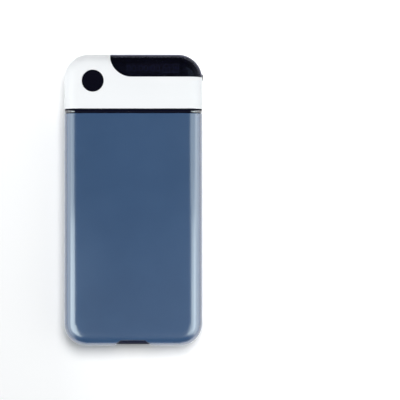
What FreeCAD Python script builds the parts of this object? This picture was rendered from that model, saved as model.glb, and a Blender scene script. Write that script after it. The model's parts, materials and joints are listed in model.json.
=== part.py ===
import FreeCAD, Part
import math
import os

# Timed lock case for a phone, in millimetres.
#
# The phone slides into a sleeve, bottom end first. A cap with the timer and the lock plugs over
# the sleeve's neck. Frame: the case lies on its back, +X is across it, +Y runs towards the cap's
# end, +Z is up through the front. The origin is the middle of the case's back.
# The case is drawn closed and unlocked: the lock bar stands clear of the keeper's hooks.

Vector = FreeCAD.Vector
X_AXIS = Vector(1, 0, 0)
Z_AXIS = Vector(0, 0, 1)

# ------------------------------------------------------------------ driving dimensions

# Outside
case_width = 90.0
sleeve_length = 151.35
collar_band = 2.65  # stripe of the collar between the sleeve and the cap
cap_corner_radius = 16.0
sleeve_corner_radius = 14.5
edge_radius = 7.8  # front and back rims
wall = 2.0
parting_height = 8.0  # where front and back halves meet
lip_thickness = 0.9
lip_height = 1.0
lip_gap = 0.1

# Clearances that several pieces share
seam_gap = 0.1  # cap's edge to the collar's flange
slip_gap = 0.25  # cap sliding over the neck
fit_gap = 0.1  # parts that are glued or pressed in place
seat_gap = 0.1
run_gap = 0.05  # shafts and plungers in their bores
inside_gap = 0.3  # fixed parts to the cap's inside

# Collar and phone bay
collar_inset = 0.35
skirt_depth = 8.0
neck_length = 9.6
neck_side_wall = 1.8
neck_front_wall = 1.6
neck_back_skin = 1.2
pad_end_gap = 0.3
end_block_thickness = 2.0

# Cable port in the bottom end
notch_depth = 4.1
notch_outer_half = 11.5
notch_inner_half = 7.8
notch_gap = 0.1
notch_over = 1.0  # how far the notch's cut runs past the case
port_inset = 0.8
port_flange_half = 17.0
port_flange_thickness = 1.5
cable_slot_width = 11.0
cable_slot_height = 6.5
cable_slot_corner = 1.5

# Keeper and lock bar
plate_thickness = 1.2
keeper_depth = 7.0
hook_leg_width = 3.0
hook_head_thickness = 2.4
hook_gap = 0.6  # hook's top to the bar
toe_gap = 0.2  # toe to the hook's head, along the pull
toe_width = 2.2
toe_side_gap = 0.3  # toe's tip to the hook, unlocked
finger_width = 3.0
finger_gap = 0.2  # finger to the hook's head, locked
finger_side_gap = 1.0  # fingers and hooks to the screw bosses
bar_travel = 3.5
bar_width = 4.0
bar_gap = 0.4  # bar to the screw bosses
rail_gap = 0.15
rail_width = 1.4
tab_length = 5.0
lug_half_width = 4.0
lug_rise = 4.0  # above the screw's axis
rivet_count = 4
rivet_end = 4.0
rivet_radius = 0.9
rivet_head_radius = 1.9
rivet_head_thickness = 0.5
rivet_tail_radius = 1.6
rivet_sink = 0.1

# Cap structure
end_pad_gap = 0.4
end_pad_thickness = 1.2
end_pad_margin = 2.0
floor_thickness = 1.4
deck_gap = 0.25
deck_thickness = 1.0
boss_radius = 2.6
boss_gap = 0.5
boss_wall_gap = 2.4
boss_corner_gap = 1.2
boss_switch_gap = 0.6
boss_root = 0.3  # how far bosses and rails run into the wall they stand on
end_room = 3.0
post_radius = 1.5
post_strap_gap = 4.0

# Cap screws and board screws
screw_radius = 1.0
screw_head_radius = 1.8
screw_head_height = 1.2
screw_head_sink = 0.6
screw_socket_radius = 0.9
screw_socket_depth = 0.6
screw_hole_gap = 0.15
screw_bite = 6.5
board_screw_radius = 0.7
board_screw_head_radius = 1.4
board_screw_head_height = 1.0
board_socket_radius = 0.7
board_socket_depth = 0.5
board_screw_bite = 4.0

# Motor, gearbox, lead screw and nut
motor_width = 12.0
motor_height = 10.0
motor_length = 13.0
gearbox_length = 8.0
gearbox_bore_depth = 3.2
motor_gap = 0.8
terminal_length = 1.2
terminal_width = 1.6
terminal_thickness = 0.5
terminal_spread = 2.5
terminal_boss_gap = 0.5
strap_thickness = 0.8
strap_width = 5.0
strap_inset = 1.5
strap_foot = 4.2
cradle_height = 4.0
cradle_thickness = 0.8
cradle_length = 9.0
cradle_end = 1.5
thread_radius = 1.5
thread_pitch = 0.5
thread_depth = 0.15
journal_radius = 1.0
screw_stub = 3.0
screw_end_gap = 0.3
nut_gap = 1.0
nut_barrel = 4.0
nut_barrel_radius = 2.2
nut_flange_radius = 3.4
nut_flange_thickness = 1.0
bush_length = 2.5
bush_radius = 2.0
bearing_wall = 1.3
lug_slot_gap = 0.4

# Battery and charge board
battery_width = 15.0
battery_height = 3.5
battery_corner = 1.0
battery_gap = 1.0
battery_inset = 12.0  # charge board's left edge to the battery
battery_floor_gap = 1.5
battery_rib = 0.8
battery_rib_height = 2.5
charge_gap = 0.4
charge_board_thickness = 1.0
charge_board_width = 17.0
charge_board_length = 10.0
charge_board_corner_gap = 1.3
charge_post_radius = 1.3
charge_post_inset = 1.3
usb_width = 8.94
usb_height = 3.2
usb_length = 7.35
usb_corner = 1.2
usb_skin = 0.3
usb_depth = 6.2
usb_tongue_width = 6.7
usb_tongue_thickness = 0.7
usb_tongue_length = 4.6
usb_recess = 0.3
usb_slot_gap = 0.15
lead_radius = 0.4
lead_bend = 1.6
lead_run = 3.5
lead_first = 1.6
lead_pitch = 1.8

# Main board and what stands on it
board_gap = 0.2
board_thickness = 1.2
board_floor_gap = 0.6
board_boss_gap = 0.4
tape_gap = 0.1
tact_size = 6.0
tact_height = 1.1
tact_well = 0.8
plunger_radius = 1.2
plunger_rise = 0.5
chip_size = 5.0
chip_height = 0.9
driver_size = 3.0
small_part_length = 1.6
small_part_width = 0.8
small_part_height = 0.8
small_part_count = 3
small_part_pitch = 2.6
part_row_gap = 1.6  # parts to the board's lower edge
buzzer_radius = 4.5
buzzer_height = 3.0
buzzer_hole_radius = 0.8
buzzer_hole_depth = 1.0

# Display and window
panel_length = 38.0
panel_width = 9.0
panel_thickness = 1.5
panel_boss_gap = 1.1  # display's rim to the screw boss at its right end
panel_inset = 1.1  # window's lower edge to the panel
gasket_thickness = 0.6
gasket_inset = 0.2
rim_height = 0.7
rim_margin = 0.5
display_margin = 1.1
flex_thickness = 0.15
flex_width = 4.0
flex_reach = 2.0
flex_foot = 1.5
window_depth = 15.2
window_corner = 14.0
window_thickness = 1.1
window_button_gap = 4.1
window_gap = 0.05
window_glue = 0.1
skirt_gap = 0.5
past_case = 2.0  # how far cutting blocks run past the outside

# Push button
button_radius = 7.0
button_hole_gap = 0.15
button_flange_margin = 0.8
button_flange_thickness = 0.9
button_boss_gap = 1.7
button_neck_gap = 0.9
button_travel = 0.4
button_nub_radius = 1.5
button_rim = 0.35
floor_button_gap = 0.2

# Power slider on the right side
slider_travel = 3.3
slider_from_end = 12.7  # cap's end to the knob, at rest
knob_length = 4.0
knob_height = 2.4
knob_proud = 0.6
knob_rim = 0.4
knob_gap = 0.1
knob_end_gap = 0.35
knob_flange_thickness = 0.6
knob_flange_margin = 0.6
knob_flange_gap = 0.75
stem_width = 1.4
stem_height = 1.2
stem_depth = 0.8
bezel_frame = 0.6
bezel_gap = 0.05
switch_room = 1.6
switch_depth = 4.6
switch_length = 9.6
switch_height = 4.6
switch_pin_count = 3
switch_pin_pitch = 2.5
switch_pin_size = 0.6

# ------------------------------------------------------------------ heights, from the back up

plate_low = wall + slip_gap
plate_high = plate_low + plate_thickness
deck_low = plate_high + deck_gap
deck_high = deck_low + deck_thickness
motor_low = deck_high + seat_gap
axis_height = motor_low + motor_height / 2
strap_low = motor_low + motor_height + seat_gap
board_low = strap_low + strap_thickness + board_gap
board_high = board_low + board_thickness
panel_low = board_high + tape_gap
panel_high = panel_low + panel_thickness
rim_low = panel_high + gasket_thickness
front_inside = rim_low + rim_height
case_thickness = front_inside + wall
middle_height = case_thickness / 2

# ------------------------------------------------------------------ lengths, from the cap's end down

boss_top_run = floor_thickness + boss_gap + 2 * boss_radius
neck_run = neck_length - seam_gap + end_pad_gap + end_pad_thickness
cap_length = neck_run + boss_top_run + motor_gap + motor_width + end_room + wall
case_length = sleeve_length + collar_band + cap_length

case_end = case_length / 2
case_tail = -case_length / 2
cap_edge = case_end - cap_length
sleeve_edge = cap_edge - collar_band
flange_end = cap_edge - seam_gap
skirt_edge = sleeve_edge - skirt_depth
neck_end = flange_end + neck_length
end_pad_edge = neck_end + end_pad_gap
floor_edge = end_pad_edge + end_pad_thickness
floor_end = floor_edge + floor_thickness
lower_boss_y = floor_end + boss_gap + boss_radius
bar_edge = lower_boss_y + boss_radius + bar_gap
bar_end = bar_edge + bar_width
hook_end = bar_edge - hook_gap
head_edge = hook_end - hook_head_thickness
toe_end = head_edge - toe_gap
axis_y = lower_boss_y + boss_radius + motor_gap + motor_width / 2

# ------------------------------------------------------------------ widths

half_width = case_width / 2
bay_half = half_width - wall - slip_gap - neck_side_wall
bay_back = plate_high + neck_back_skin
bay_front = front_inside - slip_gap - neck_front_wall
bay_corner = edge_radius - wall - slip_gap - neck_side_wall

switch_outer = half_width - wall - switch_room
switch_inner = switch_outer - switch_depth
left_boss_x = -(half_width - wall - boss_wall_gap - boss_radius)
right_boss_x = switch_inner - boss_switch_gap - boss_radius
corner_boss_reach = (cap_corner_radius - wall - boss_radius - boss_corner_gap) / math.sqrt(2)
upper_boss_x = half_width - cap_corner_radius + corner_boss_reach
upper_boss_y = case_end - cap_corner_radius + corner_boss_reach
boss_places = [
    (left_boss_x, lower_boss_y),
    (right_boss_x, lower_boss_y),
    (-upper_boss_x, upper_boss_y),
    (upper_boss_x, upper_boss_y),
]

motor_right = upper_boss_x - boss_radius - terminal_boss_gap - terminal_length
gearbox_right = motor_right - motor_length
gearbox_face = gearbox_right - gearbox_length
strap_left = gearbox_face + strap_inset
strap_right = strap_left + strap_width
lug_left = gearbox_face - nut_gap - bar_travel - nut_barrel
bush_right = lug_left - nut_flange_thickness - nut_gap
bush_left = bush_right - bush_length
battery_right = bush_left - battery_gap
battery_edge = floor_end + battery_floor_gap
battery_end = battery_edge + battery_width
battery_low = deck_high + seat_gap
battery_high = battery_low + battery_height

left_finger = left_boss_x + boss_radius + finger_side_gap
left_head = left_finger + finger_width + finger_gap + bar_travel
right_leg_end = right_boss_x - boss_radius - finger_side_gap
right_head = right_leg_end - hook_leg_width - bar_travel
hook_heads = [left_head, right_head]  # left tip of each hook's head
right_finger = right_head - finger_gap - bar_travel - finger_width

button_flange_radius = button_radius + button_flange_margin
button_x = left_boss_x + boss_radius + button_boss_gap + button_flange_radius
button_y = neck_end + button_neck_gap + button_flange_radius
button_flange_high = front_inside - seat_gap
button_flange_low = button_flange_high - button_flange_thickness
plunger_high = board_high + tact_height + plunger_rise
floor_high = button_flange_low - button_travel - floor_button_gap

window_left = button_x + button_radius + window_button_gap
window_edge = case_end - window_depth
panel_right = upper_boss_x - boss_radius - panel_boss_gap - rim_margin
panel_left = panel_right - panel_length
panel_edge = window_edge + panel_inset

bezel_half_height = knob_height / 2 + knob_gap + bezel_frame
knob_edge = case_end - slider_from_end - knob_length
slot_edge = knob_edge - slider_travel - knob_end_gap
slot_end = knob_edge + knob_length + knob_end_gap
switch_middle = (slot_edge + slot_end) / 2
window_skirt = middle_height + bezel_half_height + skirt_gap

charge_low = battery_high + charge_gap
charge_high = charge_low + charge_board_thickness
charge_left = -upper_boss_x + boss_radius + boss_gap
battery_left = charge_left + battery_inset
charge_end = case_end - wall - charge_board_corner_gap
charge_edge = charge_end - charge_board_length
usb_x = charge_left + charge_board_width / 2
usb_end = case_end - usb_recess


# ------------------------------------------------------------------ drawing helpers


def box(x_range, y_range, z_range):
    """A block from its three ranges."""
    corner = Vector(x_range[0], y_range[0], z_range[0])
    sizes = [high - low for low, high in (x_range, y_range, z_range)]
    return Part.makeBox(*sizes, corner)


def rod(start, axis, length, radius):
    """A cylinder that starts at a point and runs along an axis."""
    return Part.makeCylinder(radius, length, Vector(*start), axis)


def post(place, z_range, radius):
    """An upright cylinder at a place in plan."""
    return rod((*place, z_range[0]), Z_AXIS, z_range[1] - z_range[0], radius)


def joined(shapes):
    """One solid from several that touch or overlap."""
    whole = shapes[0]
    for shape in shapes[1:]:
        whole = whole.fuse(shape)
    return whole.removeSplitter()


def without(shape, cuts):
    """A shape less a list of cuts."""
    for cut in cuts:
        shape = shape.cut(cut)
    return shape


def corner_arc(before, corner, after, radius):
    """Tangent points and middle of the arc that rounds one corner of an outline."""
    to_before = (before - corner).normalize()
    to_after = (after - corner).normalize()
    half_angle = to_before.getAngle(to_after) / 2
    setback = radius / math.tan(half_angle)
    inward = (to_before + to_after).normalize()
    middle = corner + inward * (radius / math.sin(half_angle) - radius)
    return corner + to_before * setback, middle, corner + to_after * setback


def outline(corners, place):
    """A face with rounded corners: (u, v, radius) each, put in space by place(u, v)."""
    points = [place(u, v) for u, v, _ in corners]
    edges = []
    last = None
    first = None
    for i, (_, _, radius) in enumerate(corners):
        start = middle = end = points[i]
        if radius > 0:
            after = points[(i + 1) % len(points)]
            start, middle, end = corner_arc(points[i - 1], points[i], after, radius)
        if last is not None and (start - last).Length > 1e-6:
            edges.append(Part.LineSegment(last, start).toShape())
        if radius > 0:
            edges.append(Part.Arc(start, middle, end).toShape())
        first = first or start
        last = end
    if (first - last).Length > 1e-6:
        edges.append(Part.LineSegment(last, first).toShape())
    return Part.Face(Part.Wire(edges))


def prism(corners, z_range):
    """An outline in plan, raised over a range of heights."""
    face = outline(corners, lambda u, v: Vector(u, v, z_range[0]))
    return face.extrude(Vector(0, 0, z_range[1] - z_range[0]))


def prism_along_y(corners, y_range):
    """An outline in the XZ plane, drawn out along Y."""
    face = outline(corners, lambda u, v: Vector(u, y_range[0], v))
    return face.extrude(Vector(0, y_range[1] - y_range[0], 0))


def prism_along_x(corners, x_range):
    """An outline in the YZ plane, drawn out along X."""
    face = outline(corners, lambda u, v: Vector(x_range[0], u, v))
    return face.extrude(Vector(x_range[1] - x_range[0], 0, 0))


def rectangle(u_range, v_range, radius=0.0):
    """The corners of a rectangle, all with one radius."""
    (u0, u1), (v0, v1) = u_range, v_range
    return [(u0, v0, radius), (u1, v0, radius), (u1, v1, radius), (u0, v1, radius)]


def around(middle, half):
    """The range of a given half length about a middle."""
    return (middle - half, middle + half)


def case_plan(inset):
    """The corners of the case's plan, shrunk evenly by inset."""
    x = half_width - inset
    low = case_tail + inset
    high = case_end - inset
    tail_radius = sleeve_corner_radius - inset
    end_radius = cap_corner_radius - inset
    tail = [(-x, low, tail_radius), (x, low, tail_radius)]
    return tail + [(x, high, end_radius), (-x, high, end_radius)]


def case_body(inset):
    """The whole case as one rounded solid, shrunk evenly by inset."""
    low, high = inset, case_thickness - inset
    block = prism(case_plan(inset), (low, high))
    rims = [e for e in block.Edges if e.BoundBox.ZLength < 1e-6]
    return block.makeFillet(edge_radius - inset, rims)


def inside_inset(z):
    """How far the case's inside surface stands in from its plan at a height."""
    rise = max(edge_radius - z, z - (case_thickness - edge_radius), 0.0)
    return edge_radius - math.sqrt((edge_radius - wall) ** 2 - rise**2)


def whole_case(y_range, z_range):
    """A block as wide as the case and more, for cutting it into pieces."""
    return box(around(0, half_width + past_case), y_range, z_range)


below = -past_case
above = case_thickness + past_case
outside = case_body(0.0)
inside = case_body(wall)
shell = outside.cut(inside)


def lip(extra):
    """The ring on the back half's rim that plugs into the front half, grown by a clearance."""
    ring = case_body(wall - lip_thickness - extra).cut(inside)
    y_range = (case_tail - past_case, case_end + past_case)
    return ring.common(whole_case(y_range, (parting_height, parting_height + lip_height + extra)))


# ------------------------------------------------------------------ sleeve


def notch(shrink, inner_edge):
    """The notch's prism in the bottom end, shrunk on its sides, up to an edge inside the case."""
    slope = (notch_outer_half - notch_inner_half) / notch_depth
    outer_y = case_tail - notch_over
    inner_half = notch_inner_half - shrink
    outer_half = inner_half + slope * (inner_edge - outer_y)
    corners = [
        (-outer_half, outer_y, 0.0),
        (outer_half, outer_y, 0.0),
        (inner_half, inner_edge, 0.0),
        (-inner_half, inner_edge, 0.0),
    ]
    return prism(corners, (below, above))


def sleeve_front_shell():
    """The sleeve's front half."""
    half = shell.common(whole_case((case_tail - past_case, sleeve_edge), (parting_height, above)))
    return without(half, [lip(lip_gap), notch(0.0, case_tail + notch_depth)]).removeSplitter()


def sleeve_back_shell():
    """The sleeve's back half, with the lip that locates the front."""
    y_range = (case_tail - past_case, sleeve_edge)
    half = shell.common(whole_case(y_range, (below, parting_height)))
    ring = lip(0.0).common(whole_case(y_range, (below, above)))
    return joined([half, ring]).cut(notch(0.0, case_tail + notch_depth))


def bay_section():
    """The phone bay's cross-section."""
    return rectangle((-bay_half, bay_half), (bay_back, bay_front), bay_corner)


def keeper_range():
    """Left and right ends of the keeper's plate."""
    return (left_head, right_leg_end)


def rivet_places():
    """Where the keeper is riveted to the neck."""
    left, right = keeper_range()
    first = left + rivet_end
    step = (right - rivet_end - first) / (rivet_count - 1)
    return [(first + i * step, neck_end - keeper_depth / 2) for i in range(rivet_count)]


def neck_collar():
    """The ring that joins the sleeve's halves and carries the neck that the cap slides on."""
    flange = case_body(collar_inset).common(whole_case((sleeve_edge, flange_end), (below, above)))
    skirt = case_body(wall + fit_gap).common(whole_case((skirt_edge, sleeve_edge), (below, above)))
    neck = case_body(wall + slip_gap).common(whole_case((flange_end, neck_end), (below, above)))
    left, right = keeper_range()
    pocket_y = (neck_end - keeper_depth - fit_gap, neck_end + past_case)
    cuts = [
        prism_along_y(bay_section(), (skirt_edge - past_case, neck_end + past_case)),
        box((left - fit_gap, right + fit_gap), pocket_y, (below, plate_high)),
    ]
    tail_low = bay_back - rivet_head_thickness - rivet_sink
    for place in rivet_places():
        cuts.append(post(place, (plate_low, bay_back), rivet_radius + run_gap))
        cuts.append(post(place, (tail_low, bay_back + past_case), rivet_tail_radius + fit_gap))
    return without(joined([flange, skirt, neck]), cuts)


def keeper_plate():
    """The steel plate on the neck's back, with the two hooks that the lock bar catches."""
    blank_z = (plate_low, plate_high)
    pieces = [box(keeper_range(), (neck_end - keeper_depth, neck_end), blank_z)]
    for head in hook_heads:
        leg = head + bar_travel
        pieces.append(box((leg, leg + hook_leg_width), (neck_end, hook_end), blank_z))
        pieces.append(box((head, leg), (head_edge, hook_end), blank_z))
    sink_high = plate_low + rivet_head_thickness + rivet_sink
    cuts = []
    for place in rivet_places():
        cuts.append(post(place, (below, above), rivet_radius + run_gap))
        cuts.append(post(place, (below, sink_high), rivet_head_radius + run_gap))
    return without(joined(pieces), cuts)


def keeper_rivets():
    """The rivets, with a flush head in the keeper and a flush tail in the bay's wall."""
    head_low = plate_low + rivet_sink
    tail_high = bay_back - rivet_sink
    rivets = []
    for place in rivet_places():
        head = post(place, (head_low, head_low + rivet_head_thickness), rivet_head_radius)
        shank = post(place, (head_low, tail_high), rivet_radius)
        tail = post(place, (tail_high - rivet_head_thickness, tail_high), rivet_tail_radius)
        rivets.append(joined([head, shank, tail]))
    return rivets


def flat_pad(z_range):
    """A liner pad over the flat part of the front or the back."""
    pad = prism(case_plan(edge_radius), z_range)
    return pad.common(whole_case((case_tail, skirt_edge - pad_end_gap), z_range))


def front_pad():
    """The soft liner on the sleeve's front half."""
    return flat_pad((bay_front + seat_gap, front_inside - seat_gap))


def back_pad():
    """The soft liner on the sleeve's back half."""
    return flat_pad((wall + seat_gap, bay_back - seat_gap))


straight_heights = (edge_radius + pad_end_gap, case_thickness - edge_radius - pad_end_gap)


def side_pad(side):
    """The soft liner along one side of the bay, -1 on the left and 1 on the right."""
    edges = sorted([side * (bay_half + seat_gap), side * (half_width - wall - seat_gap)])
    y_range = (case_tail + sleeve_corner_radius + pad_end_gap, skirt_edge - pad_end_gap)
    return box(edges, y_range, straight_heights)


def end_pads():
    """The two blocks that the phone's bottom end lands on, either side of the cable port."""
    low = case_tail + wall + seat_gap
    inner = port_flange_half + pad_end_gap
    outer = half_width - sleeve_corner_radius
    y_range = (low, low + end_block_thickness)
    return [box(edges, y_range, straight_heights) for edges in ((-outer, -inner), (inner, outer))]


def cable_port():
    """The insert in the bottom notch, with the cable slot and a flange behind the end wall."""
    inner_edge = case_tail + notch_depth - notch_gap
    plug = case_body(port_inset).common(notch(notch_gap, inner_edge))
    flange_low = case_tail + wall + seat_gap
    flange_y = (flange_low, flange_low + port_flange_thickness)
    flange = box(around(0, port_flange_half), flange_y, straight_heights)
    slot_z = around(middle_height, cable_slot_height / 2)
    slot = rectangle(around(0, cable_slot_width / 2), slot_z, cable_slot_corner)
    slot_y = (case_tail - past_case, inner_edge + past_case)
    return joined([plug, flange]).cut(prism_along_y(slot, slot_y))


# ------------------------------------------------------------------ cap covers and window


def window_plan(grow):
    """The window's corners in plan: it runs past the case's end and right side."""
    left = window_left - grow
    edge = window_edge - grow
    right = half_width + past_case
    end = case_end + past_case
    return [(left, edge, window_corner + grow), (right, edge, 0.0), (right, end, 0.0), (left, end, 0.0)]


def panel_plan(grow):
    """The display panel's rectangle, grown on all sides."""
    y_range = (panel_edge - grow, panel_edge + panel_width + grow)
    return rectangle((panel_left - grow, panel_right + grow), y_range)


def usb_section(grow):
    """The receptacle's outline in the end wall."""
    z_range = (charge_high - grow, charge_high + usb_height + grow)
    return rectangle(around(usb_x, usb_width / 2 + grow), z_range, usb_corner + grow)


def bezel_section(shrink):
    """The slider bezel's outline in the right side, shrunk on all sides."""
    y_range = (slot_edge - bezel_frame + shrink, slot_end + bezel_frame - shrink)
    return rectangle(y_range, around(middle_height, bezel_half_height - shrink), bezel_frame)


def cap_front_cover():
    """The cap's front half: screw bosses, display rim and window recess in one shell."""
    half = shell.common(whole_case((cap_edge, case_end + past_case), (parting_height, above)))
    bosses = [post(place, (deck_high, front_inside + boss_root), boss_radius) for place in boss_places]
    rim = prism(panel_plan(rim_margin), (rim_low, front_inside + boss_root))
    wall_x = (switch_outer, half_width + past_case)
    recess = prism(window_plan(window_gap), (window_skirt - window_gap, above))
    cuts = [
        lip(lip_gap),
        recess.cut(case_body(window_thickness + window_glue)),
        prism(panel_plan(rim_margin), (board_high, rim_low)),
        prism(panel_plan(-display_margin), (board_high, above)),
        post((button_x, button_y), (button_flange_high, above), button_radius + button_hole_gap),
        prism_along_y(usb_section(usb_slot_gap), (case_end - wall - seat_gap, case_end + past_case)),
        prism_along_x(bezel_section(0.0), wall_x),
    ]
    pilot = (deck_high, deck_high + screw_bite + seat_gap)
    cuts += [post(place, pilot, screw_radius + run_gap) for place in boss_places]
    return without(joined([half, *bosses, rim.common(outside)]), cuts)


def rail(x_range, y_range):
    """A low wall on the back cover that guides the lock bar."""
    return box(x_range, y_range, (wall - boss_root, plate_high))


def cap_back_cover():
    """The cap's back half: counterbored bosses and the lock bar's rails."""
    y_range = (cap_edge, case_end + past_case)
    half = shell.common(whole_case(y_range, (below, parting_height)))
    ring = lip(0.0).common(whole_case(y_range, (below, above)))
    bosses = [post(place, (wall - boss_root, deck_low), boss_radius) for place in boss_places]
    lower_y = (bar_edge - rail_gap - rail_width, bar_edge - rail_gap)
    upper_y = (bar_end + rail_gap, bar_end + rail_gap + rail_width)
    left_leg_end = left_head + bar_travel + hook_leg_width
    tab_left = lug_left - finger_side_gap
    tab_right = lug_left + tab_length + bar_travel + finger_side_gap
    rails = [
        rail((left_leg_end + finger_side_gap, right_finger - finger_side_gap), lower_y),
        rail((left_finger, tab_left), upper_y),
        rail((tab_right, right_finger + finger_width + bar_travel), upper_y),
    ]
    cuts = []
    sink = (below, screw_head_sink + screw_head_height)
    for place in boss_places:
        cuts.append(post(place, sink, screw_head_radius + screw_hole_gap))
        cuts.append(post(place, (below, above), screw_radius + screw_hole_gap))
    return without(joined([half, ring, *bosses, *rails]), cuts)


def display_window():
    """The dark window: a thin skin that follows the front, the end and the right side."""
    skin = outside.cut(case_body(window_thickness))
    return skin.common(prism(window_plan(0.0), (window_skirt, above)))


def cap_screws():
    """The four screws that clamp back cover, chassis and front cover together."""
    screws = []
    for place in boss_places:
        head_high = screw_head_sink + screw_head_height
        head = post(place, (screw_head_sink, head_high), screw_head_radius)
        shank = post(place, (head_high, deck_high + screw_bite), screw_radius)
        socket = post(place, (screw_head_sink, screw_head_sink + screw_socket_depth), screw_socket_radius)
        screws.append(joined([head, shank]).cut(socket))
    return screws


# ------------------------------------------------------------------ chassis and its screws


def board_posts():
    """Where the main board is screwed to the chassis: by the charge board and beside the strap."""
    return [
        (charge_left + charge_post_inset, charge_edge - board_boss_gap - post_radius),
        (strap_left - post_strap_gap - post_radius, lower_boss_y),
        (strap_right + post_strap_gap + post_radius, lower_boss_y),
    ]


def rest_post():
    """Where the board's upper edge rests on a plain post, behind the screw's bearing."""
    return (bush_left + bush_length / 2, axis_y + motor_width / 2)


def charge_posts():
    """Where the charge board rests on the chassis, clear of the battery."""
    left = charge_left + charge_post_inset
    return [(left, charge_edge + charge_post_inset), (left, charge_end - charge_post_inset)]


def strap_screw_place():
    """The middle of the strap's foot."""
    foot_end = axis_y - motor_width / 2 - seat_gap - strap_thickness
    return ((strap_left + strap_right) / 2, foot_end - strap_foot / 2)


def cap_chassis():
    """Floor behind the phone, deck over the lock bar, and the seats for all that stands on it."""
    deck_z = (deck_low, deck_high)
    floor = whole_case((floor_edge, floor_end), (deck_low, floor_high))
    deck = whole_case((floor_edge, case_end), deck_z)
    posts = [post(place, (deck_low, board_low), post_radius) for place in board_posts()]
    posts += [post(place, (deck_low, charge_low), charge_post_radius) for place in charge_posts()]
    posts.append(post(rest_post(), (deck_low, board_low), post_radius))
    rib_z = (deck_low, deck_high + battery_rib_height)
    rib_x = (battery_left + battery_rib, battery_right)
    ribs = [
        box(rib_x, (battery_edge - seat_gap - battery_rib, battery_edge - seat_gap), rib_z),
        box(rib_x, (battery_end + seat_gap, battery_end + seat_gap + battery_rib), rib_z),
    ]
    cradle_x = (motor_right - cradle_end - cradle_length, motor_right - cradle_end)
    reach = motor_width / 2 + seat_gap
    cradle_z = (deck_low, deck_high + cradle_height)
    for side in (-1, 1):
        edges = sorted([axis_y + side * reach, axis_y + side * (reach + cradle_thickness)])
        ribs.append(box(cradle_x, edges, cradle_z))
    bearing_half = bush_radius + bearing_wall
    bearing_z = (deck_low, axis_height + bearing_half)
    bearing = box((bush_left, bush_right), around(axis_y, bearing_half), bearing_z)
    slot_x = (lug_left - lug_slot_gap, lug_left + plate_thickness + bar_travel + lug_slot_gap)
    deck_cut = (below, deck_high + seat_gap)
    bore_start = (bush_left - past_case, axis_y, axis_height)
    cuts = [
        box(slot_x, around(axis_y, lug_half_width + lug_slot_gap), deck_cut),
        rod(bore_start, X_AXIS, bush_length + 2 * past_case, bush_radius),
        post(strap_screw_place(), (below, above), board_screw_radius + run_gap),
    ]
    cuts += [post(place, deck_cut, screw_radius + screw_hole_gap) for place in boss_places]
    pilot = (board_low - board_screw_bite - seat_gap, above)
    cuts += [post(place, pilot, board_screw_radius + run_gap) for place in board_posts()]
    room = case_body(wall + inside_gap)
    return without(joined([floor, deck, *posts, *ribs, bearing]).common(room), cuts)


def phone_end_pad():
    """The foam sheet on the chassis floor that the phone's top end meets."""
    x_range = around(0, bay_half - end_pad_margin)
    z_range = (bay_back + end_pad_margin, floor_high - end_pad_margin)
    return box(x_range, (end_pad_edge, floor_edge), z_range)


def small_screw(place, seat, bite):
    """A pan-head screw that stands on a seat and bites downwards."""
    head_high = seat + board_screw_head_height
    head = post(place, (seat, head_high), board_screw_head_radius)
    shank = post(place, (seat - bite, seat), board_screw_radius)
    socket = post(place, (head_high - board_socket_depth, head_high), board_socket_radius)
    return joined([head, shank]).cut(socket)


def board_screws():
    """The main board's screws and the one in the motor strap's foot."""
    screws = [small_screw(place, board_high, board_thickness + board_screw_bite) for place in board_posts()]
    foot_high = deck_high + strap_thickness
    screws.append(small_screw(strap_screw_place(), foot_high, strap_thickness + deck_thickness))
    return screws


# ------------------------------------------------------------------ lock drive


def lock_motor():
    """The motor's can: a round body with two flats."""
    can = rod((gearbox_right, axis_y, axis_height), X_AXIS, motor_length, motor_width / 2)
    flats_z = (motor_low, motor_low + motor_height)
    return can.common(box((gearbox_right, motor_right), around(axis_y, motor_width), flats_z))


def motor_terminals():
    """The two tabs on the motor's end."""
    x_range = (motor_right, motor_right + terminal_length)
    z_range = around(axis_height, terminal_thickness / 2)
    middles = (axis_y - terminal_spread, axis_y + terminal_spread)
    return [box(x_range, around(middle, terminal_width / 2), z_range) for middle in middles]


def motor_gearbox():
    """The gearbox, with the socket for the lead screw's end."""
    block_z = (motor_low, motor_low + motor_height)
    block = box((gearbox_face, gearbox_right), around(axis_y, motor_width / 2), block_z)
    bore = journal_radius + run_gap
    return block.cut(rod((gearbox_face, axis_y, axis_height), X_AXIS, gearbox_bore_depth, bore))


def motor_strap():
    """The bent strap that holds the gearbox down, with one screwed foot."""
    half = motor_width / 2 + seat_gap
    low_y = axis_y - half
    high_y = axis_y + half
    x_range = (strap_left, strap_right)
    top_y = (low_y - strap_thickness, high_y + strap_thickness)
    top = box(x_range, top_y, (strap_low, strap_low + strap_thickness))
    near = box(x_range, (low_y - strap_thickness, low_y), (deck_high, strap_low))
    far = box(x_range, (high_y, high_y + strap_thickness), (deck_high, strap_low))
    foot_y = (low_y - strap_thickness - strap_foot, low_y)
    foot = box(x_range, foot_y, (deck_high, deck_high + strap_thickness))
    hole = post(strap_screw_place(), (below, board_low), board_screw_radius + run_gap)
    return joined([top, near, far, foot]).cut(hole)


def lead_screw():
    """The screw: journal in the bush, threaded length, and a stub in the gearbox."""
    thread_left = bush_right + fit_gap
    thread_right = gearbox_face - screw_end_gap
    turns = int((thread_right - thread_left) / thread_pitch)
    root = thread_radius - thread_depth
    points = [(bush_left, 0.0), (bush_left, journal_radius), (thread_left, journal_radius)]
    for turn in range(turns):
        start = thread_left + turn * thread_pitch
        points.append((start, root))
        points.append((start + thread_pitch / 2, thread_radius))
    points.append((thread_right, root))
    points.append((thread_right, journal_radius))
    points.append((gearbox_face + screw_stub, journal_radius))
    points.append((gearbox_face + screw_stub, 0.0))
    corners = [(x, axis_height + r, 0.0) for x, r in points]
    face = outline(corners, lambda x, z: Vector(x, axis_y, z))
    return face.revolve(Vector(0, axis_y, axis_height), X_AXIS, 360)


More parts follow.
